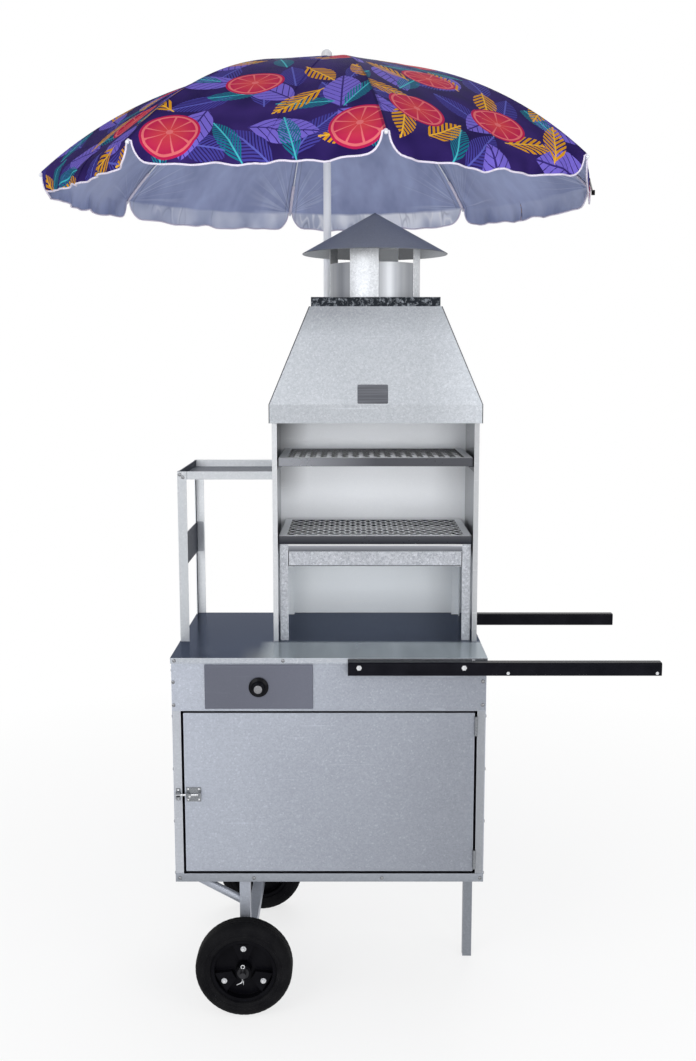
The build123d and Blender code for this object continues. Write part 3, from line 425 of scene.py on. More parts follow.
def zoneColour(tree, sources, where, part, colour, level):
    if "tone" in part:
        return mixColour(tree, 1.0, colour, (part["tone"],) * 3, "MULTIPLY")
    if "climb" in part:
        level = remap(tree, sources["spot"]["Z"], *part["climb"])
    elif "blotch" in part:
        level = remap(tree, noise(tree, where, part["blotch"], 4.0, 0.7), 0.50, 0.66)
    return mixColour(tree, level, *part["tints"])


def zincFinish(name, dark, light, rough=(0.36, 0.52), metal=0.72, speckle=640.0, spangle=270.0, contrast=0.55,
               bump=0.12, edgeTint=(1.0, 1.0, 1.0), edgeHighlightShare=0.35, zones=()):
    # galvanised sheet
    finish, tree, shader, where = newFinish(name, {"Specular Tint": (*edgeTint, 1)})
    skin = placeGroup(tree, zincSkin, Where=where, Speckle=speckle, Spangle=spangle, Contrast=contrast)
    wear = placeGroup(tree, handlingWear, Where=where, Hairlines=140.0)
    edge = placeGroup(tree, paintedEdgeHighlight, Reach=0.003)["Edge"]
    facing = addNode(tree, "ShaderNodeNewGeometry").outputs["Normal"]
    lean = vectorCalc(tree, "ABSOLUTE", facing)[0]
    sources = {"spot": split(tree, where), "face": split(tree, facing), "lean": split(tree, lean)}
    colour = mixColour(tree, skin["Tone"], dark, light)
    metalShare = metal
    for part in zones:
        share = zoneShare(tree, sources, where, part)
        changed = zoneColour(tree, sources, where, part, colour, skin["Tone"])
        colour = mixColour(tree, share, colour, changed)
        if "metal" in part:
            metalShare = calc(tree, "MULTIPLY_ADD", share, part["metal"] - metal, metalShare)
    bright = tuple(min(1.0, 1.5 * c) for c in light)
    # handling scratches lighten the colour, and a painted highlight lightens it along folds and edges
    scratchesAndEdgeHighlight = calc(tree, "MULTIPLY_ADD", wear["Scratch"], 0.16, calc(tree, "MULTIPLY", edge, edgeHighlightShare))
    feed(tree, shader["Base Color"], mixColour(tree, scratchesAndEdgeHighlight, colour, bright))
    feed(tree, shader["Metallic"], metalShare)
    haze = calc(tree, "MULTIPLY_ADD", wear["Smear"], 0.4, skin["Haze"])
    feed(tree, shader["Roughness"], remap(tree, haze, 0.3, 1.1, *rough))
    bumpOn(tree, shader, skin["Grain"], bump, 0.0006, edge=0.0016)
    return finish


def plainMetal(name, dark, light, rough=(0.2, 0.34), metal=0.95, streak=(1.0, 1.0, 0.05), scale=260.0):
    # turned or drawn metal, with fine lines along one direction
    finish, tree, shader, where = newFinish(name, {"Metallic": metal})
    wear = placeGroup(tree, handlingWear, Where=where, Hairlines=200.0)
    lines = noise(tree, stretched(tree, where, streak), scale, 3.0, 0.6)
    feed(tree, shader["Base Color"], mixColour(tree, remap(tree, lines, 0.3, 0.7), dark, light))
    haze = calc(tree, "MULTIPLY_ADD", wear["Smear"], 0.6, calc(tree, "MULTIPLY", lines, 0.4))
    feed(tree, shader["Roughness"], remap(tree, haze, 0.25, 0.8, *rough))
    bumpOn(tree, shader, lines, 0.05, 0.0004)
    return finish


def mouldedFinish(name, dark, light, rough=(0.3, 0.5), grain=900.0, bump=0.1, gloss=0.5, specks=0.0):
    # paint, rubber or plastic: a fine skin, with dust in it where there are specks
    finish, tree, shader, where = newFinish(name, {"Specular IOR Level": gloss})
    wear = placeGroup(tree, handlingWear, Where=where, Hairlines=180.0)
    skin = noise(tree, where, grain, 2.0, 0.6)
    cloud = noise(tree, where, 22.0, 3.0, 0.55)
    colour = mixColour(tree, remap(tree, cloud, 0.3, 0.7), dark, light)
    if specks:
        dust = calc(tree, "MULTIPLY", remap(tree, skin, 0.6, 0.72, 0.0, specks), cloud)
        colour = mixColour(tree, dust, colour, (0.32, 0.31, 0.29))
    feed(tree, shader["Base Color"], colour)
    haze = calc(tree, "MULTIPLY_ADD", wear["Scratch"], 0.3, wear["Smear"])
    feed(tree, shader["Roughness"], remap(tree, haze, 0.3, 0.9, *rough))
    bumpOn(tree, shader, skin, bump, 0.0005, edge=0.0018)
    return finish


# places that the finishes follow, read from the frame

fireLeft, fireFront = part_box("firebox_left_wall")[0].xy
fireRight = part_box("firebox_right_wall")[1].x
fireMiddle = (fireLeft + fireRight) / 2
hoodLow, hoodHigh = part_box("hood")
hoodMiddle = (hoodLow.y + hoodHigh.y) / 2
fireTop = hoodLow.z
collarFoot = hoodHigh.z - 0.0235
doorLow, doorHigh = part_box("door_panel")
drawerLow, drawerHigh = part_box("drawer")
trayLow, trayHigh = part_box("charcoal_tray")
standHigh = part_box("fire_stand")[1]
standLip = standHigh.z - 0.0052
grillFront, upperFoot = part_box("upper_grill")[0].yz
lowerGrillLow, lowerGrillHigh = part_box("lower_grill")
grillStart = lowerGrillLow.x + 0.016
knucklePitch = 0.0287
tableLow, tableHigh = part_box("table_top")
capLow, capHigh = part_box("chimney_cap")
shelfLow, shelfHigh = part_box("shelf_tray")
shelfMiddle = (shelfLow.y + shelfHigh.y) / 2
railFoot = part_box("floor_panel")[0].z

leftward = placed("X", fireMiddle + 0.02, fireMiddle - 0.02)
rightward = placed("X", fireMiddle - 0.02, fireMiddle + 0.02)
rearward = placed("Y", hoodMiddle, hoodMiddle + 0.03)
hoodHead = placed("Z", hoodHigh.z - 0.10, hoodHigh.z - 0.04)
upperLevel = placed("Z", upperFoot - 0.01, upperFoot)
upward, downward = faced("Z", 0.6, 0.9), faced("Z", -0.1, -0.3)
frontward = faced("Y", -0.5, -0.7)
toRight, toLeft = faced("X", 0.4, 0.6), faced("X", -0.4, -0.6)
cheekInsides = ((toRight, leftward), (toLeft, rightward))
outerZinc = ((0.36, 0.382, 0.414), (0.50, 0.523, 0.556))
# near-white fireZinc paints in the light inside the firebox and gives painted highlights on straps and grill
# knuckles; coolZinc gives painted light on the stand's rear legs and the wall's foot
fireZinc = ((0.878, 0.904, 0.945), (0.935, 0.958, 0.993))
coolZinc = ((0.88, 0.925, 0.97), (0.93, 0.97, 1.0))
sootyZinc = ((0.012, 0.012, 0.014), (0.035, 0.035, 0.04))
evenly = (1.0, 1.0, 1.0)

finishes = {
    "panel": zincFinish("galvanisedPanel", (0.275, 0.293, 0.342), (0.425, 0.453, 0.515)),
    "front": zincFinish(  # painted shade: the sheets of the front darken towards the hinge side and the floor
        "frontPanel", (0.328, 0.351, 0.411), (0.508, 0.542, 0.616),
        zones=(zone(frontward, placed("X", doorLow.x, doorHigh.x), tone=0.62),
               zone(frontward, placed("Z", doorHigh.z, doorLow.z), tone=0.92))),
    "rail": zincFinish(
        "galvanisedRail", (0.24, 0.258, 0.29), (0.34, 0.363, 0.405),
        zones=(zone(placed("Z", railFoot + 0.02, railFoot - 0.015), tone=0.76),)),
    # painted shade: the right post is darker
    "post": zincFinish(
        "galvanisedPost", (0.38, 0.40, 0.44), (0.50, 0.52, 0.56), zones=(zone(rightward, tone=0.66),)),
    # painted shade: the upright skirt and the head darker, the head's left part most; painted light: lighter
    # towards the right side; the underside as pale as the firebox inside, the collar mottled dark
    "hood": zincFinish(
        "hoodSheet", *outerZinc, speckle=760.0, contrast=0.95,
        zones=(zone(leaning(0.12, 0.02), tone=0.92),
               zone(hoodHead, tone=0.86),
               zone(hoodHead, placed("X", fireMiddle + 0.03, fireMiddle - 0.10), tone=0.84),
               zone(placed("X", fireRight - 0.14, fireRight), tone=1.24),
               zone(downward, tints=fireZinc, metal=0.2),
               zone(placed("Z", collarFoot - 0.001, collarFoot), blotch=85.0,
                    tints=((0.008, 0.011, 0.016), (0.22, 0.24, 0.27))))),
    # painted light on the inner faces of the rear right straps, painted shade on the rear left straps
    "strap": zincFinish(
        "strapSheet", (0.50, 0.52, 0.55), (0.74, 0.76, 0.79), speckle=520.0, spangle=220.0, contrast=0.8,
        zones=(zone(faced("Y", -0.2, -0.5), rearward, rightward, tints=fireZinc, metal=0.1),
               zone(rearward, leftward, tone=0.5))),
    "wall": zincFinish(  # painted light and shade: near white inside the firebox, darker under the hood, at the left side and under the upper grill, paler at the foot below the tray
        "fireboxBackSheet", *fireZinc, rough=(0.3, 0.42), metal=0.3, contrast=0.4, bump=0.05,
        zones=(zone(placed("X", fireLeft + 0.08, fireLeft), placed("Z", upperFoot - 0.132, upperFoot - 0.072),
                    tone=0.62),
               zone(placed("X", fireLeft + 0.09, fireLeft), placed("Z", fireTop - 0.10, fireTop), tone=0.45),
               zone(placed("Z", fireTop - 0.05, fireTop), tone=0.92),
               zone(placed("Z", upperFoot - 0.14, upperFoot), placed("Z", upperFoot + 0.01, upperFoot),
                    tone=0.80),
               zone(placed("Z", trayLow.z + 0.01, trayLow.z), tints=coolZinc),
               zone(faced("Y", 0.4, 0.6), tints=outerZinc, metal=0.72))),
    "cheek": zincFinish(  # painted shade: the inner faces are darker, darkest at the front by the tray and at the left under the hood; the right jamb darker, the left jamb lighter
        "fireboxSideSheet", (0.54, 0.555, 0.58), (0.64, 0.655, 0.68), rough=(0.28, 0.4), metal=0.9, bump=0.05,
        zones=(*[zone(*inside, tone=0.72) for inside in cheekInsides],
               *[zone(*inside, placed("Y", fireFront + 0.122, fireFront + 0.082),
                      placed("Z", trayHigh.z + 0.065, trayHigh.z - 0.015),
                      tone=0.09) for inside in cheekInsides],
               zone(toRight, leftward, placed("Z", fireTop - 0.12, fireTop), tone=0.3),
               zone(frontward, rightward, tone=0.82),
               zone(frontward, leftward, tone=1.06),
               zone(toLeft, leftward, tints=outerZinc, metal=0.72),
               zone(toRight, rightward, tints=outerZinc, metal=0.72))),
    "table": zincFinish(  # painted reflection: the top face is dark, paler along the front edge and, streaked, in front of the firebox
        "tableSheet", (0.42, 0.45, 0.50), (0.56, 0.59, 0.64), rough=(0.16, 0.26), metal=0.95, bump=0.02,
        edgeTint=(0.34, 0.345, 0.37),
        zones=(zone(upward, tints=((0.101, 0.122, 0.167), (0.144, 0.171, 0.234))),
               zone(upward, placed("Y", tableLow.y + 0.139, tableLow.y + 0.009),
                    placed("X", fireLeft - 0.0805, fireLeft - 0.0355),
                    tints=((0.24, 0.265, 0.285), (0.29, 0.315, 0.335))),
               zone(upward, placed("Y", fireFront + 0.007, fireFront - 0.018),
                    placed("X", fireLeft - 0.0355, fireLeft + 0.0095), streaks=0.25,
                    tints=((0.45, 0.52, 0.56), (0.50, 0.57, 0.61)), metal=0.45))),
    "stand": zincFinish(  # painted light on the rear legs, painted shade in the gap over the tray with a painted shadow line at the tray's foot, and a painted highlight along the top lip
        "standSheet", (0.27, 0.285, 0.32), (0.54, 0.56, 0.60), speckle=480.0, spangle=210.0, contrast=0.95,
        bump=0.15,
        zones=(zone(placed("Y", standHigh.y - 0.086, standHigh.y - 0.066), tints=coolZinc, metal=0.3),
               zone(placed("Y", trayLow.y + 0.002, trayLow.y + 0.004),
                    placed("Z", trayLow.z + 0.001, trayLow.z + 0.004), tints=sootyZinc),
               *[zone(frontward, placed("X", trayLow.x - 0.002, trayLow.x - 0.0015),
                      placed("X", trayHigh.x + 0.002, trayHigh.x + 0.0015), placed("Z", low, low + 0.0003),
                      placed("Z", high, high - 0.0003), climb=(low, high), tints=tints)
                 for low, high, tints in (
                     (trayLow.z - 0.0008, trayLow.z + 0.0024, ((0.02, 0.02, 0.025), (0.06, 0.065, 0.075))),
                     (trayHigh.z, standLip, ((0.09, 0.095, 0.11), (0.27, 0.28, 0.31))),
                     (standLip, standHigh.z + 0.0005, ((0.56, 0.57, 0.59), (0.66, 0.66, 0.68))))])),
    # painted reflection: the upward faces are dark; painted light on the rear post's front and the back lip;
    # painted shade on the faces towards the firebox
    "shelf": zincFinish(
        "shelfSheet", (0.41, 0.43, 0.457), (0.54, 0.56, 0.585), edgeTint=(0.45, 0.455, 0.47),
        zones=(zone(upward, tints=((0.145, 0.156, 0.174), (0.205, 0.218, 0.238))),
               zone(frontward, placed("Y", shelfMiddle, shelfMiddle + 0.05), metal=0.45,
                    tints=((0.72, 0.745, 0.775), (0.88, 0.905, 0.935))),
               zone(toRight, tints=((0.043, 0.049, 0.066), (0.071, 0.079, 0.102))))),
    # painted light: the drawer front is lighter towards its right end
    "drawer": zincFinish(
        "drawerSheet", (0.110, 0.117, 0.150), (0.134, 0.141, 0.177), rough=(0.3, 0.42), contrast=0.3,
        bump=0.03,
        zones=(zone(placed("X", drawerLow.x + 0.083, drawerHigh.x - 0.02), tone=1.12),)),
    # painted shade: the underside darker away from its ends, and the upright rim edge darker
    "cap": zincFinish(
        "capSheet", (0.42, 0.435, 0.455), (0.525, 0.54, 0.565), rough=(0.34, 0.5),
        edgeTint=(0.44, 0.45, 0.475),
        edgeHighlightShare=0.0,
        zones=(zone(downward, placed("X", capLow.x + 0.02, capLow.x + 0.09),
                    placed("X", capHigh.x - 0.02, capHigh.x - 0.09), tone=0.31),
               zone(leaning(0.25, 0.12), tone=0.35))),
    # painted light: the upward faces of the grill rims, pale on the same steel whose other faces are painted
    # dark
    "flange": zincFinish(
        "grillRimLitTop", (0.66, 0.68, 0.71), (0.84, 0.86, 0.89), rough=(0.3, 0.46), metal=0.25, bump=0.04,
        edgeHighlightShare=0.5),
    "grill": zincFinish(  # painted shade darkens the upper grill; painted highlights brighten the knuckles of both grills
        "grillSteel", (0.44, 0.45, 0.47), (0.60, 0.61, 0.63), rough=(0.3, 0.46), metal=0.2, contrast=0.4,
        bump=0.04, edgeHighlightShare=0.2,
        zones=(zone(upperLevel, tone=0.07),
               zone(upperLevel, placed("Y", grillFront + 0.25, grillFront + 0.02),
                    every=(grillStart, knucklePitch), tints=fireZinc),
               zone(placed("Z", upperFoot, upperFoot - 0.01), every=(grillStart, knucklePitch / 2),
                    tints=fireZinc))),
    # painted shade on the grill rims' other faces: darker towards the foot of the lower rim's front, with
    # painted light at the upper rim's left end
    "grillRim": zincFinish(
        "grillRimShadedSteel", (0.020, 0.022, 0.030), (0.042, 0.045, 0.056), rough=(0.24, 0.38), metal=0.9,
        contrast=0.2,
        bump=0.03, edgeHighlightShare=0.6,
        zones=(zone(frontward, climb=(lowerGrillLow.z, lowerGrillHigh.z),
                    tints=((0.016, 0.018, 0.026), (0.085, 0.088, 0.10))),
               zone(placed("X", fireMiddle, fireLeft + 0.06), upperLevel,
                    tints=((0.27, 0.28, 0.31), (0.30, 0.31, 0.34))))),
    "bright": plainMetal("brightSteel", (0.52, 0.53, 0.55), (0.80, 0.81, 0.83)),
    # painted reflections: broad light and dark bands down the pipe
    "pipe": plainMetal("pipeSheetPaintedReflections", (0.17, 0.18, 0.205), (0.46, 0.475, 0.50), rough=(0.34, 0.48),
                       metal=0.85, streak=(1.0, 1.0, 0.01), scale=17.0),
    "handle": mouldedFinish("blackEnamel", (0.003, 0.003, 0.005), (0.006, 0.006, 0.009), rough=(0.16, 0.3),
                            gloss=0.05, bump=0.03, specks=0.03),
    "knob": mouldedFinish("blackKnobPlastic", (0.002, 0.002, 0.003), (0.006, 0.006, 0.008), rough=(0.16, 0.3),
                          bump=0.06, gloss=0.08),
    "rim": mouldedFinish("rimPlastic", (0.0015, 0.0015, 0.0025), (0.0035, 0.0035, 0.005), rough=(0.28, 0.46),
                         bump=0.12, specks=0.03, gloss=0.05),
    "tyre": mouldedFinish("tyreRubber", (0.003, 0.003, 0.004), (0.007, 0.007, 0.008), rough=(0.55, 0.8),
                          grain=500.0, bump=0.3, specks=0.07, gloss=0.05),
    "plastic": mouldedFinish("whitePlastic", (0.55, 0.57, 0.60), (0.68, 0.70, 0.73), rough=(0.3, 0.45)),
    "pole": plainMetal("poleTube", (0.93, 0.95, 0.98), (0.97, 0.975, 0.985), rough=(0.28, 0.42), metal=0.0),
    "frameWire": plainMetal("umbrellaWire", (0.60, 0.62, 0.68), (0.78, 0.80, 0.85), rough=(0.28, 0.4),
                            metal=0.6),
    "fitting": plainMetal("pressedFittings", (0.14, 0.15, 0.165), (0.34, 0.355, 0.375), rough=(0.24, 0.4),
                          scale=420.0, streak=evenly),
    "rivet": plainMetal("rivetHeads", (0.16, 0.165, 0.18), (0.34, 0.345, 0.36), rough=(0.2, 0.32),
                        streak=evenly),
    "axleSteel": plainMetal("oiledAxle", (0.010, 0.010, 0.012), (0.035, 0.035, 0.04), rough=(0.3, 0.45),
                            metal=0.6),
    # dark strips along the hood's corners, a painted shadow
    "seam": mouldedFinish("hoodCornerShadow", (0.045, 0.048, 0.055), (0.085, 0.09, 0.10), rough=(0.5, 0.7),
                          gloss=0.2),
    "knobInsert": plainMetal("knobInsert", (0.17, 0.17, 0.18), (0.27, 0.27, 0.285), rough=(0.3, 0.42),
                             metal=0.7, streak=evenly, scale=500.0),
    "plate": plainMetal("barePlate", (0.085, 0.09, 0.105), (0.155, 0.16, 0.18), rough=(0.28, 0.4), metal=0.8,
                        streak=(0.02, 1.0, 1.0), scale=320.0),
}

dressing = {
    "panel": ("left_side_panel", "right_side_panel", "back_panel", "drawer_runners", "axle_frame",
              "pole_socket"),
    "front": ("front_apron", "door_panel"),
    "rail": ("floor_panel", "prop_leg"),
    "post": ("corner_posts",),
    "table": ("table_top",),
    "drawer": ("drawer",),
    "hood": ("hood",),
    "pipe": ("chimney_pipe",),
    "strap": ("cap_straps",),
    "cap": ("chimney_cap",),
    "wall": ("firebox_back_wall",),
    "cheek": ("firebox_left_wall", "firebox_right_wall"),
    "grillRim": ("grill_rails",),
    "stand": ("fire_stand", "charcoal_tray"),
    "shelf": ("shelf_tray", "shelf_frame"),
    "grill": ("upper_grill", "lower_grill"),
    "bright": ("latch_bolt", "handle_bolts"),
    "fitting": ("hinge_leaves_door", "hinge_leaves_fixed", "latch_plate", "latch_keeper"),
    "axleSteel": ("axle",),
    "handle": ("push_handles",),
    "knob": ("drawer_knob",),
    "rim": ("rim_front", "rim_rear"),
    "tyre": ("tyre_front", "tyre_rear"),
    "plastic": ("umbrella_crown", "umbrella_runner"),
    "pole": ("umbrella_pole",),
    "frameWire": tuple(f"{kind}_{k}" for kind in ("rib", "stretcher") for k in range(1, 9)),
}
for finishName, members in dressing.items():
    for member in members:
        for materialSlot in cad[member].material_slots:
            materialSlot.material = finishes[finishName]
print("finishes on", sum(len(m) for m in dressing.values()), "nodes")


# umbrella print: fruit slices, fronds and broad leaves on a dark ground

def makeMotifCell():
    # one place in a scattered pattern: how far along and across it a point is, and whether it holds a motif
    group, given, result = shaderGroup(
        "motifCell", ["Where", "Shift"], ["Cell", "Keep"], ["Along", "Across", "On"])
    where = vectorCalc(group, "ADD", given["Where"], given["Shift"])[0]
    dense = calc(group, "DIVIDE", 1.0, given["Cell"])
    cells = addNode(group, "ShaderNodeTexVoronoi", {"Randomness": 0.6}, voronoi_dimensions="2D")
    feed(group, cells.inputs["Vector"], where)
    feed(group, cells.inputs["Scale"], dense)
    dice = addNode(group, "ShaderNodeSeparateColor", {0: cells.outputs["Color"]}).outputs
    local = vectorCalc(group, "SUBTRACT", where, cells.outputs["Position"])[0]
    sized = addNode(group, "ShaderNodeVectorMath", {0: local, "Scale": dense}, operation="SCALE").outputs[0]
    angle = calc(group, "MULTIPLY", dice[0], math.tau)
    turned = addNode(group, "ShaderNodeVectorRotate", {"Vector": sized, "Angle": angle},
                     rotation_type="Z_AXIS")
    spread = split(group, turned.outputs[0])
    feed(group, result["Along"], spread["X"])
    feed(group, result["Across"], spread["Y"])
    feed(group, result["On"], calc(group, "LESS_THAN", dice[1], given["Keep"]))
    return group


def makeFrondShape():
    # a leaf with slanting gaps, its stem and its veins
    group, given, result = shaderGroup(
        "frondShape", [], ["Along", "Across", "Length", "Width", "Teeth", "Gap"], ["Mask", "Rib"])
    side = calc(group, "ABSOLUTE", given["Across"])
    run = calc(group, "DIVIDE", given["Along"], given["Length"])
    girth = calc(group, "SUBTRACT", 1.0, calc(group, "MULTIPLY", run, run))
    inside = calc(group, "LESS_THAN", side, calc(group, "MULTIPLY", girth, given["Width"]))
    slant = calc(group, "MULTIPLY_ADD", calc(group, "DIVIDE", side, given["Width"]), -0.55, run)
    comb = calc(group, "FRACT", calc(group, "MULTIPLY", slant, given["Teeth"]))
    leaflet = calc(group, "GREATER_THAN", comb, given["Gap"])
    within = calc(group, "LESS_THAN", calc(group, "ABSOLUTE", run), 1.0)
    stem = calc(group, "MULTIPLY", calc(group, "LESS_THAN", side, 0.012), within)
    feed(group, result["Mask"], calc(group, "MAXIMUM", calc(group, "MULTIPLY", inside, leaflet), stem))
    vein = calc(group, "MULTIPLY", inside, calc(group, "LESS_THAN", comb, 0.14))
    feed(group, result["Rib"], calc(group, "MAXIMUM", vein, stem))
    return group


def makeSliceShape():
    # a round slice of fruit: rind, ring of pith and nine wedges of flesh
    group, given, result = shaderGroup(
        "sliceShape", [], ["Along", "Across", "Radius"], ["Disc", "Pith", "Flesh"])
    along, across = given["Along"], given["Across"]
    far = calc(group, "MULTIPLY_ADD", along, along, calc(group, "MULTIPLY", across, across))
    far = calc(group, "DIVIDE", calc(group, "SQRT", far), given["Radius"])
    turn = calc(group, "ARCTAN2", across, along)
    wedge = calc(group, "FRACT", calc(group, "MULTIPLY", turn, 9 / math.tau))
    membrane = calc(group, "GREATER_THAN", calc(group, "ABSOLUTE", calc(group, "SUBTRACT", wedge, 0.5)),
                    0.435)
    feed(group, result["Disc"], calc(group, "LESS_THAN", far, 1.0))
    inner = calc(group, "LESS_THAN", far, 0.84)
    ring = calc(group, "MULTIPLY", calc(group, "LESS_THAN", far, 0.92), calc(group, "SUBTRACT", 1.0, inner))
    core = calc(group, "LESS_THAN", far, 0.12)
    spokes = calc(group, "MULTIPLY", inner, calc(group, "MAXIMUM", membrane, core))
    feed(group, result["Pith"], calc(group, "MAXIMUM", ring, spokes))
    feed(group, result["Flesh"], remap(group, far, 0.1, 0.9))
    return group


motifCell = makeMotifCell()
frondShape = makeFrondShape()
sliceShape = makeSliceShape()


def scattered(tree, cut, shape, seat, sizes):
    # gives the motif's own results and where its cells are taken
    cell = placeGroup(tree, motifCell, Where=cut, **seat)
    return placeGroup(tree, shape, Along=cell["Along"], Across=cell["Across"], **sizes), cell["On"]


def leafKind(shift, cell, keep, length, width, teeth, gap, tint, ribTint):
    seat = {"Shift": (*shift, 0), "Cell": cell, "Keep": keep}
    return seat, {"Length": length, "Width": width, "Teeth": teeth, "Gap": gap}, tint, ribTint


def printFinish():
    finish, tree, shader = newFinish("printedCanopyCloth", {"IOR": 1.06})[:3]
    cut = addNode(tree, "ShaderNodeUVMap", uv_map="clothCut").outputs[0]
    shade = noise(tree, cut, 7.0, 2.0)
    colour = mixColour(tree, remap(tree, shade, 0.35, 0.65), (0.014, 0.008, 0.060), (0.032, 0.018, 0.112))
    leaves = (
        leafKind((3.1, 1.7), 0.170, 0.95, 0.49, 0.20, 7.0, 0.40, (0.045, 0.040, 0.235), (0.08, 0.085, 0.36)),
        leafKind((0.4, 5.2), 0.190, 0.80, 0.47, 0.24, 4.0, 0.10, (0.135, 0.100, 0.450),
                 (0.032, 0.020, 0.140)),
        leafKind((7.3, 2.9), 0.150, 0.66, 0.49, 0.17, 6.0, 0.38, (0.008, 0.130, 0.190), (0.05, 0.36, 0.42)),
        leafKind((5.9, 8.3), 0.165, 0.66, 0.48, 0.19, 4.0, 0.42, (0.500, 0.225, 0.012), (0.62, 0.34, 0.04)),
    )
    for seat, sizes, tint, ribTint in leaves:
        leaf, taken = scattered(tree, cut, frondShape, seat, sizes)
        shown = calc(tree, "MULTIPLY", leaf["Mask"], taken)
        colour = mixColour(tree, shown, colour, mixColour(tree, leaf["Rib"], tint, ribTint))
    seat = {"Shift": (2.2, 9.6, 0), "Cell": 0.240, "Keep": 0.55}
    fruit, taken = scattered(tree, cut, sliceShape, seat, {"Radius": 0.30})
    flesh = mixColour(tree, fruit["Flesh"], (0.48, 0.050, 0.055), (0.36, 0.012, 0.065))
    flesh = mixColour(tree, fruit["Pith"], flesh, (0.55, 0.12, 0.13))
    colour = mixColour(tree, calc(tree, "MULTIPLY", fruit["Disc"], taken), colour, flesh)
    # the seam over each rib shows as a dark line
    seam = remap(tree, attributeOf(tree, "fromSeam")["Fac"], 0.003, 0.006, 0.45, 0.0)
    feed(tree, shader["Base Color"], mixColour(tree, seam, colour, (0.008, 0.006, 0.03)))
    feed(tree, shader["Roughness"], remap(tree, shade, 0.3, 0.7, 0.6, 0.75))
    weave = diagonalBands(tree, cut, 380.0)
    bumpOn(tree, shader, calc(tree, "MULTIPLY_ADD", noise(tree, cut, 26.0, 2.0), 6.0, weave), 0.25, 0.0004)
    return finish


def crease(tree, height, level, width, depth, mask):
    # a line where a rippled height passes a level
    off = calc(tree, "ABSOLUTE", calc(tree, "SUBTRACT", height, level))
    return calc(tree, "MULTIPLY", remap(tree, off, 0.0, width, depth, 0.0), mask)


def liningFinish():
    finish, tree, shader = newFinish("silverLining", {"Metallic": 0.35, "Specular IOR Level": 0.3})[:3]
    cut = addNode(tree, "ShaderNodeUVMap", uv_map="clothCut").outputs[0]
    folds = noise(tree, stretched(tree, cut, (1.6, 0.7, 1.0)), 6.0, 3.0, 0.55)
    colour = mixColour(tree, remap(tree, folds, 0.35, 0.68), (0.207, 0.241, 0.405), (0.330, 0.377, 0.585))
    # a hem line runs along each side of a rib
    seam = attributeOf(tree, "fromSeam")["Fac"]
    hem = calc(tree, "ABSOLUTE", calc(tree, "SUBTRACT", seam, 0.019))
    colour = mixColour(tree, remap(tree, hem, 0.001, 0.0032, 0.45, 0.0), colour, (0.11, 0.12, 0.19))
    # creases fan out from each rib end, where the cloth is held, with a painted highlight and a painted shade
    # line along each
    tip = split(tree, attributeOf(tree, "fromTip")["Vector"])
    across, along = tip["X"], tip["Y"]
    far = calc(tree, "MULTIPLY_ADD", across, across, calc(tree, "MULTIPLY", along, along))
    far = calc(tree, "SQRT", far)
    fanSpot = combine(tree, calc(tree, "ARCTAN2", along, across), calc(tree, "MULTIPLY", far, 0.35), tip["Z"])
    fan = calc(tree, "SUBTRACT", noise(tree, fanSpot, 4.5, 1.0, 0.4), 0.5)
    held = remap(tree, far, 0.02, 0.20, 1.0, 0.0)
    colour = mixColour(tree, crease(tree, fan, 0.0, 0.05, 0.42, held), colour, (0.60, 0.65, 0.80))
    colour = mixColour(tree, crease(tree, fan, 0.06, 0.05, 0.30, held), colour, (0.15, 0.165, 0.25))
    # past the rim the cloth hangs as a slack satin with crisp creases in places; its pale colour is a painted
    # sheen, with painted highlights and shade lines at the creases
    flapSheenAndCrumple = attributeOf(tree, "flapSheenAndCrumple")["Fac"]
    satin = remap(tree, noise(tree, stretched(tree, cut, (1.0, 0.7, 1.0)), 9.0, 2.0), 0.38, 0.62)
    slack = mixColour(tree, satin, (0.48, 0.52, 0.645), (0.89, 0.91, 0.975))
    crush = noise(tree, stretched(tree, cut, (2.4, 0.7, 1.0), (0, 0, 0.5)), 13.0, 1.0, 0.4)
    crush = calc(tree, "SUBTRACT", crush, 0.5)
    places = remap(tree, noise(tree, cut, 7.0, 1.0), 0.46, 0.58)
    slack = mixColour(tree, crease(tree, crush, 0.0, 0.06, 0.7, places), slack, (0.98, 0.98, 1.0))
    slack = mixColour(tree, crease(tree, crush, 0.11, 0.045, 0.5, places), slack, (0.19, 0.205, 0.29))
    feed(tree, shader["Base Color"], mixColour(tree, flapSheenAndCrumple, colour, slack))
    feed(tree, shader["Roughness"], remap(tree, folds, 0.3, 0.7, 0.36, 0.52))
    crumple = calc(tree, "MULTIPLY", calc(tree, "MULTIPLY", crush, places), flapSheenAndCrumple)
    height = calc(tree, "MULTIPLY_ADD", calc(tree, "MULTIPLY", fan, held), 0.5, crumple)
    bumpOn(tree, shader, height, 0.5, 0.008)
    return finish


def pipingFinish():
    finish, tree, shader, where = newFinish("whitePiping", {"Roughness": 0.75})
    thread = diagonalBands(tree, where, 260.0, 1.5)
    feed(tree, shader["Base Color"], mixColour(tree, thread, (0.50, 0.46, 0.58), (0.70, 0.66, 0.76)))
    bumpOn(tree, shader, thread, 0.3, 0.0004)
    return finish


finishes["print"] = printFinish()
finishes["lining"] = liningFinish()
finishes["piping"] = pipingFinish()
print("umbrella cloth finishes ready")


# canopy: sixteen half gores, each on its own rib, which they follow as the umbrella folds;
# and one half of every gore laps over the other, so the cloth stays closed

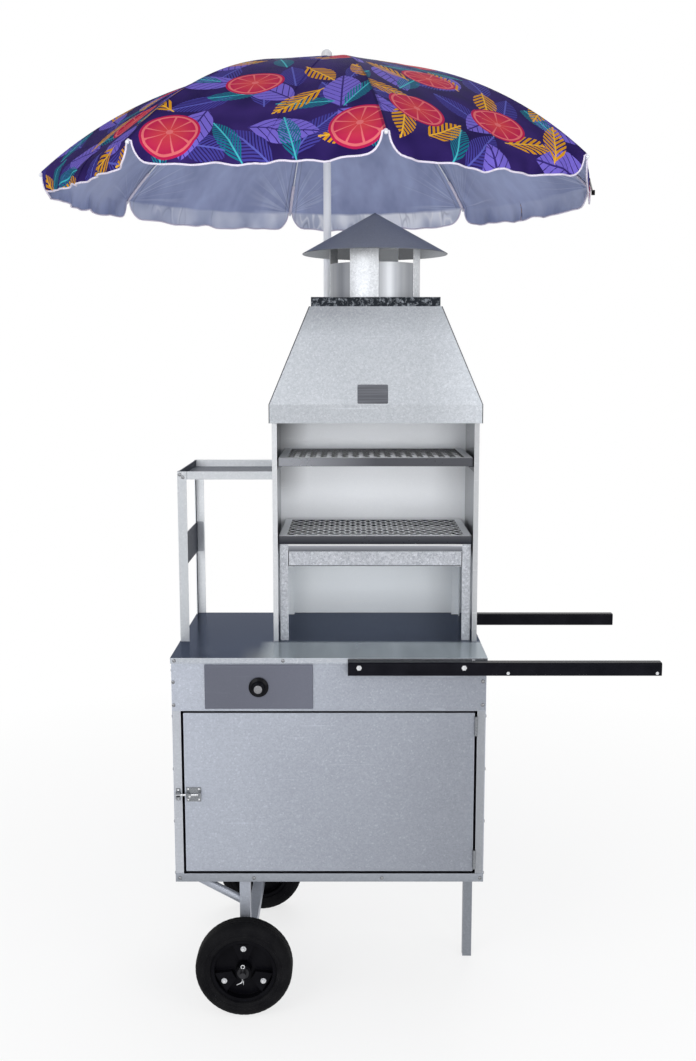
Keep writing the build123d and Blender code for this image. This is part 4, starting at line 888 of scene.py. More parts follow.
canopy = {
    "pole": (-0.03153, 0.0), "ribs": 8, "firstRib": math.radians(-79.4), "bend": 1.160, "hingeZ": 2.484,
    "edge": 0.783, "hole": 0.0300,
    "lift": 0.0040, "cloth": 0.0013, "valance": 0.052, "corner": 0.044, "notch": 0.006, "notchDepth": 0.003,
    "sag": 0.016, "flare": 0.016, "wave": 0.0055, "hemWave": 0.0032, "tiedGore": 1, "folded": 0.67,
    "lap": 0.0615, "lapHem": 0.012, "lapPeak": 0.56, "lapTaper": 0.72, "lapGap": 0.0003, "lapSlope": 0.080,
    "cutBack": 0.008, "flatWidth": 0.300, "flatLength": 0.900,
    "rippleWaves": ((0.0011, 61, 1.9),),  # strength, radians in a metre, shift from gore to gore
    "flapWaves": ((1.0, 41, 2.3), (0.6, 97, 1.1)),
    "hemWaves": ((1.0, 37, 1.7), (0.5, 83, 3.1)),
    "seamSteps": (0, 0.003, 0.006, 0.0075, 0.0095, 0.0125, 0.0165, 0.022, 0.029, 0.038),
    "evenFrom": 0.050, "evenStep": 0.0125, "evenCount": 20, "lapColumns": (0.02, 0.34, 0.67, 1.0),
    "rings": 30, "flapRows": 7, "probeAcross": 0.0008, "probeAlong": 0.001, "printShift": (0.9, 0.37),
    "pipe": 0.0025, "pipeSides": 8, "pipeCut": 0.002,
}
pole = Vector(canopy["pole"])
halfStep = math.pi / canopy["ribs"]
rimHalf = canopy["edge"] * math.sin(halfStep)
domeFoot = canopy["hingeZ"] - canopy["bend"]


def domeRise(r):
    # how far the ribs' arc stands over its centre at a radius from the pole
    return math.sqrt(canopy["bend"] ** 2 - r * r)


def ribAngle(rib):
    return canopy["firstRib"] + rib * 2 * halfStep


def waves(name, u, gore):
    return sum(size * math.sin(u * pace + gore * shift) for size, pace, shift in canopy[name])


def goreWorld(gore, u, r, drop):
    # u across the gore from its middle, r the rib radius of this row, drop the length down the valance
    c = canopy
    share = max(-1.0, min(1.0, u / (r * math.sin(halfStep))))
    near = r / c["edge"]
    loose = 0.0 if gore == c["tiedGore"] else 1.0
    slack = loose * c["sag"] * near * near * (1 - share * share)
    ripple = loose * waves("rippleWaves", u, gore) * near ** 4 * (1 - share ** 4)
    d = r * math.cos(halfStep) - slack * 0.55
    z = domeFoot + domeRise(r) + ripple - slack * 0.75
    if drop > 0:
        edgeShare = 1 - share * share
        bent = drop / c["valance"]
        wave = waves("flapWaves", u, gore) * c["wave"] * bent * min(1.0, edgeShare * 3)
        d += loose * (c["flare"] * edgeShare * (1 - (1 - bent) ** 2) + wave)
        z -= drop * (0.86 + 0.14 * bent)
        z += loose * c["hemWave"] * bent * edgeShare * waves("hemWaves", u, gore)
    middle = ribAngle(gore) + halfStep
    x = pole.x + d * math.cos(middle) - u * math.sin(middle)
    y = pole.y + d * math.sin(middle) + u * math.cos(middle)
    return Vector((x, y, z))


def flapDepth(fromRib):
    # shallow by the rib, then a round corner, then the full valance
    c = canopy
    if fromRib < c["notch"]:
        return c["notchDepth"]
    bow = max(0.0, (c["notch"] + c["corner"] - fromRib) / c["corner"])
    return max(c["notchDepth"], c["valance"] * math.sqrt(max(0.0, 1 - bow * bow)))


def lapWidth(r, down):
    # widest half way out, where the folded halves draw furthest apart
    c = canopy
    off = 2 * (r / c["edge"] - c["lapPeak"])
    wide = min(c["lap"] * (1 - c["lapTaper"] * off * off), r * math.sin(halfStep))
    return wide + (c["lapHem"] - wide) * down


def lapRise(r, share, pastMiddle, outer):
    # the outer face climbs over the other half before the middle, the inner face steps up behind it
    step = canopy["cloth"] + canopy["lapGap"]
    if not outer:
        return step if pastMiddle else 0.0
    half = r * math.sin(halfStep)
    near = 1 - min(1.0, share * half / min(canopy["lapSlope"], 0.9 * half))
    return step * near * near * (3 - 2 * near)


def clothNormal(gore, u, r, drop, hangs):
    a, b = canopy["probeAcross"], canopy["probeAlong"]
    du = goreWorld(gore, u + a, r, drop) - goreWorld(gore, u - a, r, drop)
    if hangs:
        dv = goreWorld(gore, u, r, drop + b) - goreWorld(gore, u, r, max(0.0, drop - b))
    else:
        dv = goreWorld(gore, u * (r + b) / r, r + b, 0) - goreWorld(gore, u * (r - b) / r, r - b, 0)
    return dv.cross(du).normalized()


def seamNormal(rib, r):
    # at the seam over a rib both gores stand off along the rib's own normal
    slope = r / domeRise(r)
    return Vector((slope * math.cos(ribAngle(rib)), slope * math.sin(ribAngle(rib)), 1)).normalized()


def clothFaces(wide, tall, flip):
    # the outer face, the inner face and the cut edge round both, with the finish of each
    inner = wide * tall
    quads = []
    for i in range(tall - 1):
        for a in range(i * wide, i * wide + wide - 1):
            outside = (a, a + 1, a + 1 + wide, a + wide)
            quads.append((outside, 0, flip))
            quads.append((tuple(inner + k for k in outside), 1, not flip))
    rim = list(range(wide)) + [i * wide + wide - 1 for i in range(1, tall)]
    rim += [(tall - 1) * wide + j for j in range(wide - 2, -1, -1)]
    rim += [i * wide for i in range(tall - 2, 0, -1)]
    rim = list(zip(rim, rim[1:] + rim[:1]))
    quads += [((a, b, inner + b, inner + a), 0, not flip) for a, b in rim]
    faces = [(quad[0], *quad[:0:-1]) if turned else quad for quad, kind, turned in quads]
    return faces, [kind for quad, kind, turned in quads], rim


def hemPiping(track, normals):
    # rings of white piping round the free edge of the flap
    last = len(track) - 1
    rings = []
    for k, spot in enumerate(track):
        ahead = (track[min(k + 1, last)] - track[max(k - 1, 0)]).normalized()
        out = (normals[k] - ahead * normals[k].dot(ahead)).normalized()
        radius = canopy["pipe"]
        rings.append(ringAround(spot, out * radius, ahead.cross(out) * radius, canopy["pipeSides"]))
    return rings


def pipingFaces(base, rings, sides):
    faces = []
    for k in range(rings - 1):
        for q in range(sides):
            a = base + k * sides + q
            b = base + k * sides + (q + 1) % sides
            faces.append((a, b, b + sides, a + sides))
    first = tuple(range(base, base + sides))
    return faces + [first[::-1], tuple((rings - 1) * sides + k for k in first)]


def setCut(mesh, cuts):
    layer = mesh.uv_layers.new(name="clothCut")
    for corner in mesh.loops:
        layer.data[corner.index].uv = cuts[corner.vertex_index]


def halfGore(gore, side):
    # side -1 is the half by the gore's first rib, +1 the half by its second, which goes under the lap
    c = canopy
    steps = [*c["seamSteps"], *[c["evenFrom"] + c["evenStep"] * k for k in range(c["evenCount"])]]
    laps = c["lapColumns"] if side < 0 else ()
    middleColumn = len(steps)
    shares = [1 - step / rimHalf for step in steps] + [0.0] * (1 + len(laps))
    rows = [(c["hole"] + (c["edge"] - c["hole"]) * k / c["rings"], 0.0) for k in range(c["rings"] + 1)]
    rows += [(c["edge"], k / c["flapRows"]) for k in range(1, c["flapRows"] + 1)]
    wide, tall = len(shares), len(rows)
    inner = wide * tall
    places = [(r, down, share, column) for r, down in rows for column, share in enumerate(shares)]
    spots, normals, cuts = [], [], []
    for r, down, share, column in places:
        u = side * share * r * math.sin(halfStep)
        if column > middleColumn:
            u = -side * laps[column - middleColumn - 1] * lapWidth(r, down)
        elif column == middleColumn and not laps:
            u = side * c["cutBack"] * down
        drop = down * flapDepth((1 - share) * rimHalf)
        spot = goreWorld(gore, u, r, drop)
        normal = clothNormal(gore, u, r, drop, down > 0)
        if share == 1.0:
            normal = seamNormal(gore + (side > 0), r)
        if normal.dot(Vector((spot.x - pole.x, spot.y - pole.y, 0.25))) < 0:
            normal = -normal
        spots.append(spot)
        normals.append(normal)
        cuts.append((u + c["printShift"][0] * gore,
                     c["bend"] * math.asin(r / c["bend"]) + drop + c["printShift"][1] * gore))
    points = []
    for layer in (c["cloth"], 0.0):
        for spot, normal, (r, down, share, column) in zip(spots, normals, places):
            rise = lapRise(r, share, column > middleColumn, layer > 0) if laps else 0.0
            points.append(spot + normal * (c["lift"] + layer + rise))
    faces, kinds, rim = clothFaces(wide, tall, side < 0)
    hem = slice(inner - wide, inner)
    track = [(a + b) / 2 for a, b in zip(points[hem], points[-wide:])]
    pipe = pipingFaces(len(points), wide, c["pipeSides"])
    for ring in hemPiping(track, normals[hem]):
        points += ring
    piece = pointPiece(f"canopyGore{gore + 1}{'a' if side < 0 else 'b'}", points, faces + pipe,
                       [finishes["print"], finishes["lining"], finishes["piping"]], kinds + [2] * len(pipe))
    mesh = piece.data
    # painted sheen on the hanging cloth, strongest on the gores that face front and back; it also sets where
    # the crumple bump goes
    sheenShare = math.sin(ribAngle(gore) + halfStep) ** 4
    markPoints(mesh, "flapSheenAndCrumple", "FLOAT", [sheenShare if down else 0.0 for r, down, share, column in places] * 2)
    markPoints(mesh, "fromSeam", "FLOAT", [(1 - share) * rimHalf for r, down, share, column in places] * 2)
    tips = [((1 - share) * r * math.sin(halfStep), c["edge"] - r, 3 * gore + side)
            for r, down, share, column in places]
    markPoints(mesh, "fromTip", "FLOAT_VECTOR", tips * 2)
    pipeCuts = [(x, y + c["pipeCut"] * k) for x, y in cuts[hem] for k in range(c["pipeSides"])]
    setCut(mesh, cuts * 2 + pipeCuts)
    # the cloth's cut edges stay crisp, so the two halves of a gore shade as one sheet
    crisp = {tuple(sorted(pair)) for pair in rim}
    crisp |= {(a + inner, b + inner) for a, b in crisp}
    if laps:
        stepLine = [inner + i * wide + middleColumn for i in range(tall)]
        crisp |= set(zip(stepLine, stepLine[1:]))
    sharpenEdges(mesh, lambda pair: pair in crisp)
    return piece


def onRib(piece, rib):
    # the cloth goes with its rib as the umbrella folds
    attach(piece, f"rib_{rib + 1}")
    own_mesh(piece)


for gore in range(canopy["ribs"]):
    for side in (-1, 1):
        piece = halfGore(gore, side)
        rib = (gore if side < 0 else gore + 1) % canopy["ribs"]
        onRib(piece, rib)
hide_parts("umbrella_canopy")

# a round patch closes the top under the finial, clear of the gores that turn about the crown below it
topPatch = {"hole": 0.0090, "seat": 0.0160, "rim": 0.0400, "air": 0.0002, "cloth": 0.0012, "turns": 48}


def closeTop():
    t, c = topPatch, canopy
    seat = c["lift"] + t["air"]
    overLap = c["lift"] + 2 * c["cloth"] + c["lapGap"] + t["air"]
    under = [(t["hole"], seat), (t["seat"], seat), ((t["seat"] + c["hole"]) / 2, (seat + overLap) / 2),
             (c["hole"], overLap), ((c["hole"] + t["rim"]) / 2, overLap), (t["rim"], overLap)]
    profile = under + [(r, lift + t["cloth"]) for r, lift in reversed(under)]
    rings = []
    for r, lift in profile:
        centre = Vector((*pole, domeFoot + domeRise(r) + lift))
        rings.append(ringAround(centre, Vector((r, 0, 0)), Vector((0, r, 0)), t["turns"]))
    piece = skinPiece("canopyTopPatch", [rings], [finishes["print"]], smooth=True, caps=False)
    mesh = piece.data
    setCut(mesh, [vertex.co.xy for vertex in mesh.vertices])
    markPoints(mesh, "fromSeam", "FLOAT", [t["rim"]] * len(mesh.vertices))
    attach(piece, "umbrella_head")


closeTop()


# rib pockets: white tape sleeves that hold the canopy to the rib ends

pocket = {"from": 0.690, "to": 0.781, "radius": 0.0033, "flat": 1.5, "swell": 0.08, "sides": 10, "steps": 14}


def ribPocket(rib):
    out = Vector((math.cos(ribAngle(rib)), math.sin(ribAngle(rib)), 0))
    across = Vector((-out.y, out.x, 0))
    rings = []
    for k in range(pocket["steps"] + 1):
        r = pocket["from"] + (pocket["to"] - pocket["from"]) * k / pocket["steps"]
        centre = Vector((*pole, domeFoot + domeRise(r))) + out * r
        up = Vector((out.x * r, out.y * r, domeRise(r))).normalized()
        radius = pocket["radius"] * (1 + pocket["swell"] * math.sin(k * 2.1))
        rings.append(ringAround(centre, across * radius * pocket["flat"], up * radius, pocket["sides"]))
    return skinPiece(f"ribPocket{rib + 1}", [rings], [finishes["piping"]], smooth=True)


for rib in range(canopy["ribs"]):
    settle(ribPocket(rib), f"rib_{rib + 1}")
print("rib pockets on")


# the cord that ties the folded umbrella hangs by the rib beside the tied gore

tie = {"start": 0.26, "end": 0.004, "steps": 8, "drop": 0.012, "off": 0.006, "radius": 0.0026, "bead": 0.0055,
       "beadSides": 12, "beadHalf": 0.007, "beadOff": 0.0024, "beadDrop": 0.004}
cord = []
for k in range(tie["steps"] + 1):
    share = k / tie["steps"]
    fromRib = tie["start"] * (1 - share) + tie["end"]
    spot = goreWorld(canopy["tiedGore"], rimHalf - fromRib, canopy["edge"], tie["drop"])
    cord.append(spot + Vector((tie["off"] * (1 + share), 0, 0)))
bead = cord[-1] + Vector((tie["beadOff"], 0, -tie["beadDrop"]))
beadPath = [bead + Vector((0, 0, tie["beadHalf"] * k)) for k in (-1, 0, 1)]
cordSkins = [tubeAlong(cord, tie["radius"]), tubeAlong(beadPath, tie["bead"], tie["beadSides"])]
tieCord = skinPiece("tieCord", cordSkins, [finishes["knob"]], smooth=True)
onRib(tieCord, canopy["tiedGore"] + 1)
print("tie cord on")


# helpers for geometry trees, which set repeating things by rule

def geometryTree(name, inputs):
    inputs = {"Geometry": "Geometry", **inputs, "Finish": "Material"}
    return nodeGroup(name, "GeometryNodeTree", inputs, {"Geometry": "Geometry"})


def moved(tree, shape, **how):
    return addNode(tree, "GeometryNodeTransform", {"Geometry": shape, **how}).outputs[0]


def setOnPoints(tree, given, shape):
    # one copy on each point of the seed mesh, turned along the point's facing
    facing = addNode(tree, "GeometryNodeInputNamedAttribute", {"Name": "facing"}, data_type="FLOAT_VECTOR")
    turn = addNode(tree, "FunctionNodeAlignRotationToVector", {"Vector": facing.outputs[0]}, axis="Z")
    inputs = {"Points": given["Geometry"], "Instance": shape, "Rotation": turn.outputs[0]}
    return addNode(tree, "GeometryNodeInstanceOnPoints", inputs).outputs[0]


def endTree(tree, given, result, shape, smooth=False):
    shape = addNode(tree, "GeometryNodeRealizeInstances", {0: shape}).outputs[0]
    if smooth:
        shape = addNode(tree, "GeometryNodeSetShadeSmooth", {"Geometry": shape}).outputs[0]
    coat = addNode(tree, "GeometryNodeSetMaterial", {"Geometry": shape, "Material": given["Finish"]})
    feed(tree, result["Geometry"], coat.outputs[0])
    return tree


def grown(name, seedMesh, tree, values):
    # runs a geometry tree on a seed mesh and keeps the result as a plain mesh
    holder = linked(name + "Seed", seedMesh)
    modifier = holder.modifiers.new("grow", "NODES")
    modifier.node_group = tree
    for item in tree.interface.items_tree:
        if item.in_out == "INPUT" and item.name in values:
            modifier[item.identifier] = values[item.name]
    bpy.context.view_layer.update()
    ready = holder.evaluated_get(bpy.context.evaluated_depsgraph_get())
    mesh = bpy.data.meshes.new_from_object(ready)
    mesh.name = name
    bpy.data.objects.remove(holder)
    return linked(name, mesh)


def facingPoints(points, facing):
    mesh = bpy.data.meshes.new("facingPoints")
    mesh.from_pydata([tuple(p) for p in points], [], [])
    markPoints(mesh, "facing", "FLOAT_VECTOR", facing)
    return mesh


# rivets: domed heads set on the sheet under each spot

rivets = {
    "radius": 0.0048, "dome": 0.0021, "lift": 0.0009, "castFrom": 0.9,
    "front": ((-0.409, 0.928), (-0.135, 0.928), (0.345, 0.928), (-0.413, 0.872), (-0.413, 0.812),
              (0.370, 0.874), (0.370, 0.813), (-0.406, 0.350), (-0.215, 0.350), (0.116, 0.350),
              (0.370, 0.350)),
    "shelfFront": ((-0.411, 1.381), (-0.403, 1.374)),
    "sideHeights": (0.36, 0.50, 0.64, 0.78, 0.90), "sideInset": 0.011,
    "back": ((-0.40, 0.36), (-0.40, 0.64), (-0.40, 0.91), (0.36, 0.36), (0.36, 0.64), (0.36, 0.91),
             (-0.15, 0.36), (0.12, 0.36)),
    "wallBack": ((-0.160, 0.99), (-0.160, 1.24), (-0.160, 1.48), (0.361, 0.99), (0.361, 1.24), (0.361, 1.48)),
    "skirtSide": (-0.36, -0.21, -0.06), "skirtRise": 0.024,
}
screw = {"radius": 0.0031, "dome": 0.0020, "inset": 0.0052, "plate": 0.0015}


def rivetTree():
    tree, given, result = geometryTree("domedRivets", {"Head Radius": "Float", "Dome Height": "Float"})
    dome = addNode(tree, "GeometryNodeMeshUVSphere", {"Segments": 14, "Rings": 8, "Radius": 1.0}).outputs[0]
    size = combine(tree, given["Head Radius"], given["Head Radius"], given["Dome Height"])
    heads = setOnPoints(tree, given, moved(tree, dome, Scale=size))
    return endTree(tree, given, result, heads, smooth=True)


def sheetTree(names):
    corners = []
    triangles = []
    for name in names:
        mesh = cad[name].data
        start = len(corners)
        corners += [v.co.copy() for v in mesh.vertices]
        triangles += [tuple(start + v for v in p.vertices) for p in mesh.polygons]
    return BVHTree.FromPolygons(corners, triangles)


cartSheets = sheetTree((
    "table_top", "front_apron", "floor_panel", "corner_posts", "left_side_panel", "right_side_panel",
    "back_panel",
    "shelf_tray", "shelf_frame", "hood", "firebox_left_wall", "firebox_right_wall", "firebox_back_wall",
    "chimney_pipe", "cap_straps"))


def sheetAlong(origin, direction):
    # where a line first meets a sheet, and the way that the sheet faces there
    direction = Vector(direction)
    hit, normal = cartSheets.ray_cast(Vector(origin), direction)[:2]
    return hit, normal if normal.dot(direction) < 0 else -normal


def sheetFromFront(x, z):
    return sheetAlong((x, -rivets["castFrom"], z), (0, 1, 0))


def sheetRivetSeats():
    away = rivets["castFrom"]
    seats = [sheetFromFront(x, z) for x, z in rivets["front"] + rivets["shelfFront"]]
    seats += [sheetAlong((x, away, z), (0, -1, 0)) for x, z in rivets["back"] + rivets["wallBack"]]
    panelLow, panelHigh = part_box("left_side_panel")
    edges = (panelLow.y + rivets["sideInset"], panelHigh.y - rivets["sideInset"])
    sides = [(y, z) for z in rivets["sideHeights"] for y in edges]
    sides += [(y, fireTop + rivets["skirtRise"]) for y in rivets["skirtSide"]]
    for y, z in sides:
        seats += [sheetAlong((-way * away, y, z), (way, 0, 0)) for way in (1, -1)]
    return seats


def domed(name, points, facing, sizes, finish):
    return grown(name, facingPoints(points, facing), domedHeads, {
        "Head Radius": sizes["radius"], "Dome Height": sizes["dome"], "Finish": finishes[finish]})


domedHeads = rivetTree()
seats = sheetRivetSeats()
rivetPoints = [hit + outward * rivets["lift"] for hit, outward in seats]
sheetRivets = domed("sheetRivets", rivetPoints, [outward for hit, outward in seats], rivets, "rivet")
settle(sheetRivets, "cart")

for holder, body in (("latch_plate", "door"), ("latch_keeper", "cart")):
    low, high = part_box(holder)
    face = doorLow.y - screw["plate"]
    columns = (low.x + screw["inset"], high.x - screw["inset"])
    if holder == "latch_keeper":
        columns = ((low.x + high.x) / 2,)
    points = [(x, face, z) for x in columns for z in (low.z + screw["inset"], high.z - screw["inset"])]
    heads = domed(f"{body}LatchScrews", points, [(0, -1, 0)] * len(points), screw, "bright")
    settle(heads, body)
print("rivets", len(seats))


# grills: a folded rim with the expanded sheet under its flange

grills = {"flange": 0.020, "wall": 0.002, "pitch": 0.028, "row": 0.050, "strand": 0.0024, "sheet": 0.0016,
          "under": 0.004, "bevel": 0.0006}


def foldedRim(name, low, high):
    # an angle section swept round a rectangle with mitred corners
    g = grills
    section = ((0, low.z), (0, high.z), (g["flange"], high.z), (g["flange"], high.z - g["wall"]),
               (g["wall"], high.z - g["wall"]), (g["wall"], low.z))
    rings = []
    for into, z in section:
        left, right = low.x + into, high.x - into
        front, back = low.y + into, high.y - into
        rings.append([(left, front, z), (right, front, z), (right, back, z), (left, back, z)])
    piece = skinPiece(name, [rings], [finishes["grillRim"], finishes["flange"]], caps=False)
    # painted light and shade: the upward faces take the pale finish, the others the dark one
    for polygon in piece.data.polygons:
        polygon.material_index = int(polygon.normal.z > 0.5)
    roundFolds(piece, g["bevel"])
    return piece


def grillMeshTree():
    # zigzag strands that meet at their peaks
    tree, given, result = geometryTree("expandedMetal", {
        "Corner": "Vector", "Columns": "Int", "Rows": "Int", "Pitch": "Float", "Row": "Float",
        "Strand": "Float",
        "Sheet": "Float"})
    count = calc(tree, "MULTIPLY_ADD", given["Columns"], 2.0, 1.0)
    step = combine(tree, calc(tree, "MULTIPLY", given["Pitch"], 0.5), 0.0, 0.0)
    line = addNode(tree, "GeometryNodeMeshLine", {"Count": count, "Offset": step}).outputs[0]
    number = addNode(tree, "GeometryNodeInputIndex").outputs[0]
    flip = calc(tree, "MULTIPLY_ADD", calc(tree, "MODULO", number, 2.0), 2.0, -1.0)
    lean = calc(tree, "MULTIPLY", flip, calc(tree, "MULTIPLY", given["Row"], 0.25))
    sway = combine(tree, 0.0, lean, 0.0)
    zigzag = addNode(tree, "GeometryNodeSetPosition", {"Geometry": line, "Offset": sway}).outputs[0]
    rise = combine(tree, 0.0, calc(tree, "MULTIPLY", given["Row"], 0.5), 0.0)
    column = addNode(tree, "GeometryNodeMeshLine", {"Count": given["Rows"], "Offset": rise}).outputs[0]
    mirror = combine(tree, 1.0, flip, 1.0)
    spread = addNode(tree, "GeometryNodeInstanceOnPoints",
                     {"Points": column, "Instance": zigzag, "Scale": mirror})
    solid = addNode(tree, "GeometryNodeRealizeInstances", {0: spread.outputs[0]}).outputs[0]
    wires = addNode(tree, "GeometryNodeMeshToCurve", {0: solid}).outputs[0]
    size = {"Width": given["Sheet"], "Height": given["Strand"]}
    section = addNode(tree, "GeometryNodeCurvePrimitiveQuadrilateral", size).outputs[0]
    swept = {"Curve": wires, "Profile Curve": section, "Fill Caps": True}
    strands = addNode(tree, "GeometryNodeCurveToMesh", swept).outputs[0]
    return endTree(tree, given, result, moved(tree, strands, Translation=given["Corner"]))


expandedMetal = grillMeshTree()
for level in ("upper", "lower"):
    low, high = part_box(f"{level}_grill")
    rim = foldedRim(f"{level}GrillRim", low, high)
    settle(rim, f"{level}_grill")
    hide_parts(f"{level}_grill")
    into = grills["flange"] - grills["under"]
    wide = high.x - low.x - 2 * into
    deep = high.y - low.y - 2 * into
    columns = int(wide / grills["pitch"])
    rows = int(2 * deep / grills["row"])
    row = 2 * deep / rows
    corner = (low.x + into, low.y + into + row / 4, high.z - grills["wall"] - grills["sheet"] / 2)
    sheet = grown(f"{level}GrillSheet", bpy.data.meshes.new("grillSeed"), expandedMetal, {
        "Corner": corner, "Columns": columns, "Rows": rows, "Pitch": wide / columns, "Row": row,
        "Strand": grills["strand"], "Sheet": grills["sheet"], "Finish": finishes["grill"]})
    settle(sheet, f"{level}_grill")
    print(level, "grill", columns, "by", rows, "strands,", len(sheet.data.polygons), "faces")


# bare plate on the hood's front slope

plate = {"x": (0.0530, 0.1319), "z": (1.5655, 1.6140), "thick": 0.0014, "corner": 0.003, "cornerSteps": 4,
         "steps": ((0, 0), (0, 0.6), (0.0006, 1.0), (0.004, 1.0), (0.0046, 0.7))}  # inset, share of thickness


def barePlate():
    across = sum(plate["x"]) / 2
    lowHit = sheetFromFront(across, plate["z"][0])[0]
    highHit, normal = sheetFromFront(across, plate["z"][1])
    up = (highHit - lowHit).normalized()
    centre = (lowHit + highHit) / 2
    r = plate["corner"]
    wide = (plate["x"][1] - plate["x"][0]) / 2 - r
    tall = (highHit - lowHit).length / 2 - r
    outline = []
    for quarter, (x, z) in enumerate(((wide, tall), (-wide, tall), (-wide, -tall), (wide, -tall))):
        for k in range(plate["cornerSteps"] + 1):
            a = math.pi / 2 * (quarter + k / plate["cornerSteps"])
            outline.append((x + r * math.cos(a), z + r * math.sin(a)))
    rings = []
    for shrink, share in plate["steps"]:
        ring = []
        for x, z in outline:
            x -= math.copysign(min(shrink, abs(x)), x)
            z -= math.copysign(min(shrink, abs(z)), z)
            ring.append(centre + Vector((x, 0, 0)) + up * z + normal * plate["thick"] * share)
        rings.append(ring)
    return skinPiece("hoodPlate", [rings], [finishes["plate"]])


settle(barePlate(), "cart")
print("hood plate on")


# flange at the rear end of the shelf's cross plate, turned onto the rear post

flange = {"wide": 0.0185, "thick": 0.0015, "rise": 0.185, "tall": 0.088, "corner": 0.003, "bevel": 0.0004}


def turnedFlange():
    foot = tableHigh.z + flange["rise"]
    head = foot + flange["tall"]
    inside = Vector((fireLeft - flange["wide"], shelfMiddle, (foot + head) / 2))
    fold = sheetAlong(inside, (-1, 0, 0))[0]
    seat = sheetAlong(fold + Vector((flange["wide"] / 2, 0, 0)), (0, 1, 0))[0].y
    free = fold.x + flange["wide"]
    cut = free - flange["corner"]
    outline = ((fold.x, foot), (cut, foot), (free, foot + flange["corner"]), (free, head - flange["corner"]),
               (cut, head), (fold.x, head))
    rings = [[(x, y, z) for x, z in outline] for y in (seat - flange["thick"], seat)]
    piece = skinPiece("shelfPlateFlange", [rings], [finishes["post"]])
    roundFolds(piece, flange["bevel"])
    return piece


settle(turnedFlange(), "cart")
print("shelf flange on")


# wheels: ribbed tyres and bright bolts on the rims

axleLow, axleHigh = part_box("axle")
hub = (axleLow + axleHigh) / 2
wheel = {
    "segments": 192, "block": 4, "sipe": 0.00045, "sipeBand": (0.0135, 0.0335), "sipeFoot": 0.112,
    "crisp": math.radians(34),
    "profile": (  # one half of the tyre: from the wheel's middle plane, from the axle
        (0.0290, 0.0840), (0.0330, 0.0860), (0.0352, 0.0900), (0.0357, 0.0945), (0.0345, 0.0962),
        (0.0345, 0.0986), (0.0358, 0.1002), (0.0360, 0.1040), (0.0352, 0.1090), (0.0334, 0.1136),
        (0.0302, 0.1182), (0.0260, 0.1218), (0.0205, 0.1242), (0.0170, 0.1249), (0.0130, 0.1250),
        (0.0125, 0.1222), (0.0102, 0.1222), (0.0097, 0.1250), (0.0016, 0.1250), (0.0012, 0.1222)),
    "boltTurns": (90, 210, 330), "boltCircle": 0.058, "padFace": 0.0224, "washer": 0.0072,
    "washerThick": 0.0014,
    "head": 0.0056, "headHeight": 0.0058, "crown": (0.8, 0.8, 0.3),
}


def ribbedTyre(name, planeY):
    profile = [(-a, r) for a, r in wheel["profile"]]
    profile += [(-a, r) for a, r in reversed(profile)]
    start, stop = wheel["sipeBand"]
    rings = []
    for k in range(wheel["segments"]):
        angle = math.tau * k / wheel["segments"]
        depth = wheel["sipe"] if k % wheel["block"] == 0 else 0.0
        ring = []
        for a, r in profile:
            if start < abs(a) < stop and r > wheel["sipeFoot"]:
                r -= depth
            ring.append((hub.x + r * math.cos(angle), planeY + a, hub.z + r * math.sin(angle)))
        rings.append(ring)
    piece = skinPiece(name, [rings], [finishes["tyre"]], smooth=True, caps=False)
    facing = {}
    for polygon in piece.data.polygons:
        for key in polygon.edge_keys:
            facing.setdefault(key, []).append(polygon.normal)
    sharpenEdges(piece.data, lambda pair: facing[pair][0].angle(facing[pair][1], 0.0) > wheel["crisp"])
    return piece


def boltTree():
    # a washer, a hexagon head and a low crown
    tree, given, result = geometryTree("rimBolts", {
        "Washer Radius": "Float", "Head Radius": "Float", "Head Height": "Float"})
    height = given["Head Height"]
    joined = addNode(tree, "GeometryNodeJoinGeometry")
    for sides, label, depth in ((24, "Washer Radius", wheel["washerThick"]), (6, "Head Radius", height)):
        size = {"Vertices": sides, "Radius": given[label], "Depth": depth}
        disc = addNode(tree, "GeometryNodeMeshCylinder", size).outputs["Mesh"]
        rise = combine(tree, 0.0, 0.0, calc(tree, "MULTIPLY", depth, 0.5))
        feed(tree, joined.inputs[0], moved(tree, disc, Translation=rise))
    size = {"Segments": 12, "Rings": 6, "Radius": given["Head Radius"]}
    dome = addNode(tree, "GeometryNodeMeshUVSphere", size).outputs["Mesh"]
    crown = moved(tree, dome, Scale=wheel["crown"], Translation=combine(tree, 0.0, 0.0, height))
    feed(tree, joined.inputs[0], crown)
    return endTree(tree, given, result, setOnPoints(tree, given, joined.outputs[0]))


rimBolts = boltTree()
for end, outward in (("front", -1), ("rear", 1)):
    low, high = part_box(f"tyre_{end}")
    planeY = (low.y + high.y) / 2
    tyre = ribbedTyre(f"{end}Tyre", planeY)
    settle(tyre, f"wheel_{end}")
    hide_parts(f"tyre_{end}")
    points = []
    for degrees in wheel["boltTurns"]:
        a = math.radians(degrees)
        points.append((hub.x + wheel["boltCircle"] * math.cos(a), planeY + outward * wheel["padFace"],
                       hub.z + wheel["boltCircle"] * math.sin(a)))
    bolts = grown(f"{end}RimBolts", facingPoints(points, [(0, outward, 0)] * len(points)), rimBolts, {
        "Washer Radius": wheel["washer"], "Head Radius": wheel["head"], "Head Height": wheel["headHeight"],
        "Finish": finishes["bright"]})
    settle(bolts, f"wheel_{end}")
print("wheels dressed")


# split pins through the ends of the axle, each with an eye, a straight leg and a bent one

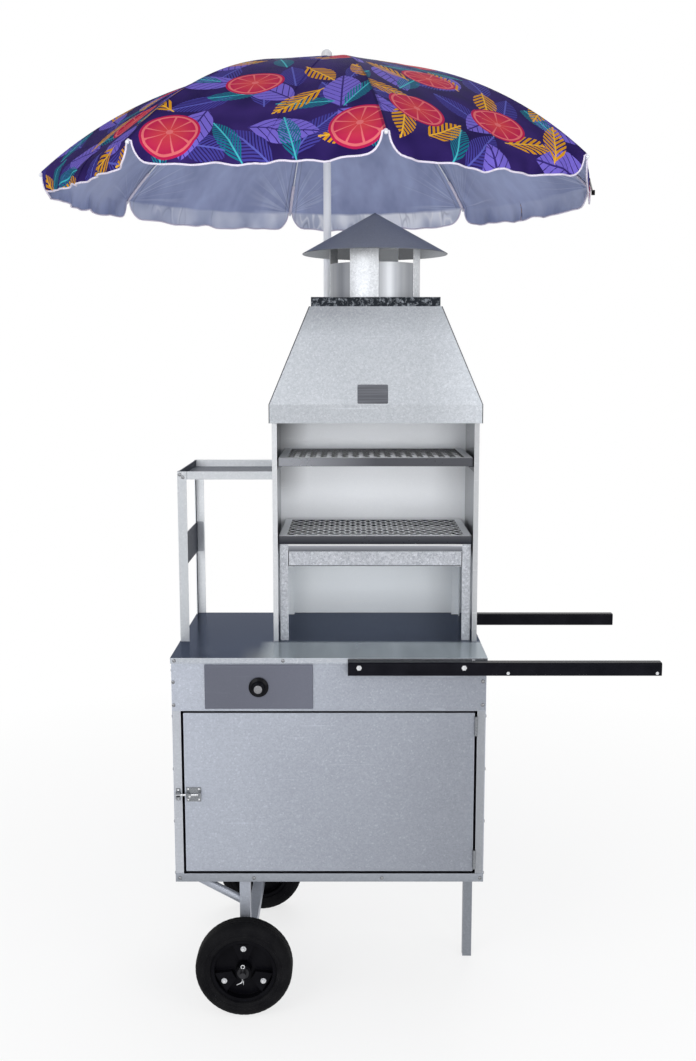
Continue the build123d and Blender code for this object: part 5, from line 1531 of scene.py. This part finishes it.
pin = {
    "inset": 0.007, "wire": 0.0014, "ring": 0.0045, "top": 0.017, "eyeStep": math.radians(20), "eyeSteps": 18,
    "straightLeg": ((0.0008, 0, -0.012), (0.0012, 0, -0.027)),  # to the right, outward, up
    "bentLeg": ((-0.0012, 0, -0.012), (-0.0016, 0, -0.018), (-0.0050, 0.0015, -0.0215),
                (-0.016, 0.003, -0.0255)),
}
pins = []
for y, outward in ((axleLow.y + pin["inset"], -1), (axleHigh.y - pin["inset"], 1)):
    hole = Vector((hub.x, y, hub.z))
    eye = hole + Vector((0, 0, pin["top"] + pin["ring"]))
    turns = [pin["eyeStep"] * k for k in range(pin["eyeSteps"])]
    paths = [[eye + Vector((math.sin(a), 0, -math.cos(a))) * pin["ring"] for a in turns]]
    for leg in (pin["straightLeg"], pin["bentLeg"]):
        paths.append([hole + Vector((x, outward * out, z)) for x, out, z in leg])
    pins += [tubeAlong(path, pin["wire"]) for path in paths]
settle(skinPiece("splitPins", pins, [finishes["bright"]], smooth=True), "cart")

# dark strips up the hood's four corners: a painted shadow along its corner edges
seam = {"radius": 0.0012, "skirt": 0.048, "head": 0.024, "side": 0.1035, "front": 0.0605, "back": 0.0565}
cornerShadowLines = []
for x, topX in ((hoodLow.x, hoodLow.x + seam["side"]), (hoodHigh.x, hoodHigh.x - seam["side"])):
    for y, topY in ((hoodLow.y, hoodLow.y + seam["front"]), (hoodHigh.y, hoodHigh.y - seam["back"])):
        path = [(x, y, fireTop), (x, y, fireTop + seam["skirt"]), (topX, topY, hoodHigh.z - seam["head"])]
        cornerShadowLines.append(tubeAlong([Vector(spot) for spot in path], seam["radius"]))
settle(skinPiece("hoodSeams", cornerShadowLines, [finishes["seam"]], smooth=True), "cart")

# a metal disc in the face of the drawer's knob
insert = {"radius": 0.0105, "thick": 0.0012, "seat": 0.0006, "sides": 32,
          "steps": ((1.0, 0.5), (0.9, 1.0), (0.45, 1.3))}  # share of the radius, share of the thickness
knobLow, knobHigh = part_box("drawer_knob")
knobMiddle = (knobLow + knobHigh) / 2
levels = [(insert["radius"], knobLow.y + insert["seat"])]
levels += [(insert["radius"] * share, knobLow.y - insert["thick"] * rise) for share, rise in insert["steps"]]
rings = []
for radius, y in levels:
    centre = Vector((knobMiddle.x, y, knobMiddle.z))
    rings.append(ringAround(centre, Vector((radius, 0, 0)), Vector((0, 0, radius)), insert["sides"]))
settle(skinPiece("knobInsert", [rings], [finishes["knobInsert"]], smooth=True), "drawer")
print("small fittings on")


size = {"cad": [list(v) for v in cadBox], "visual": [list(v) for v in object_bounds()]}
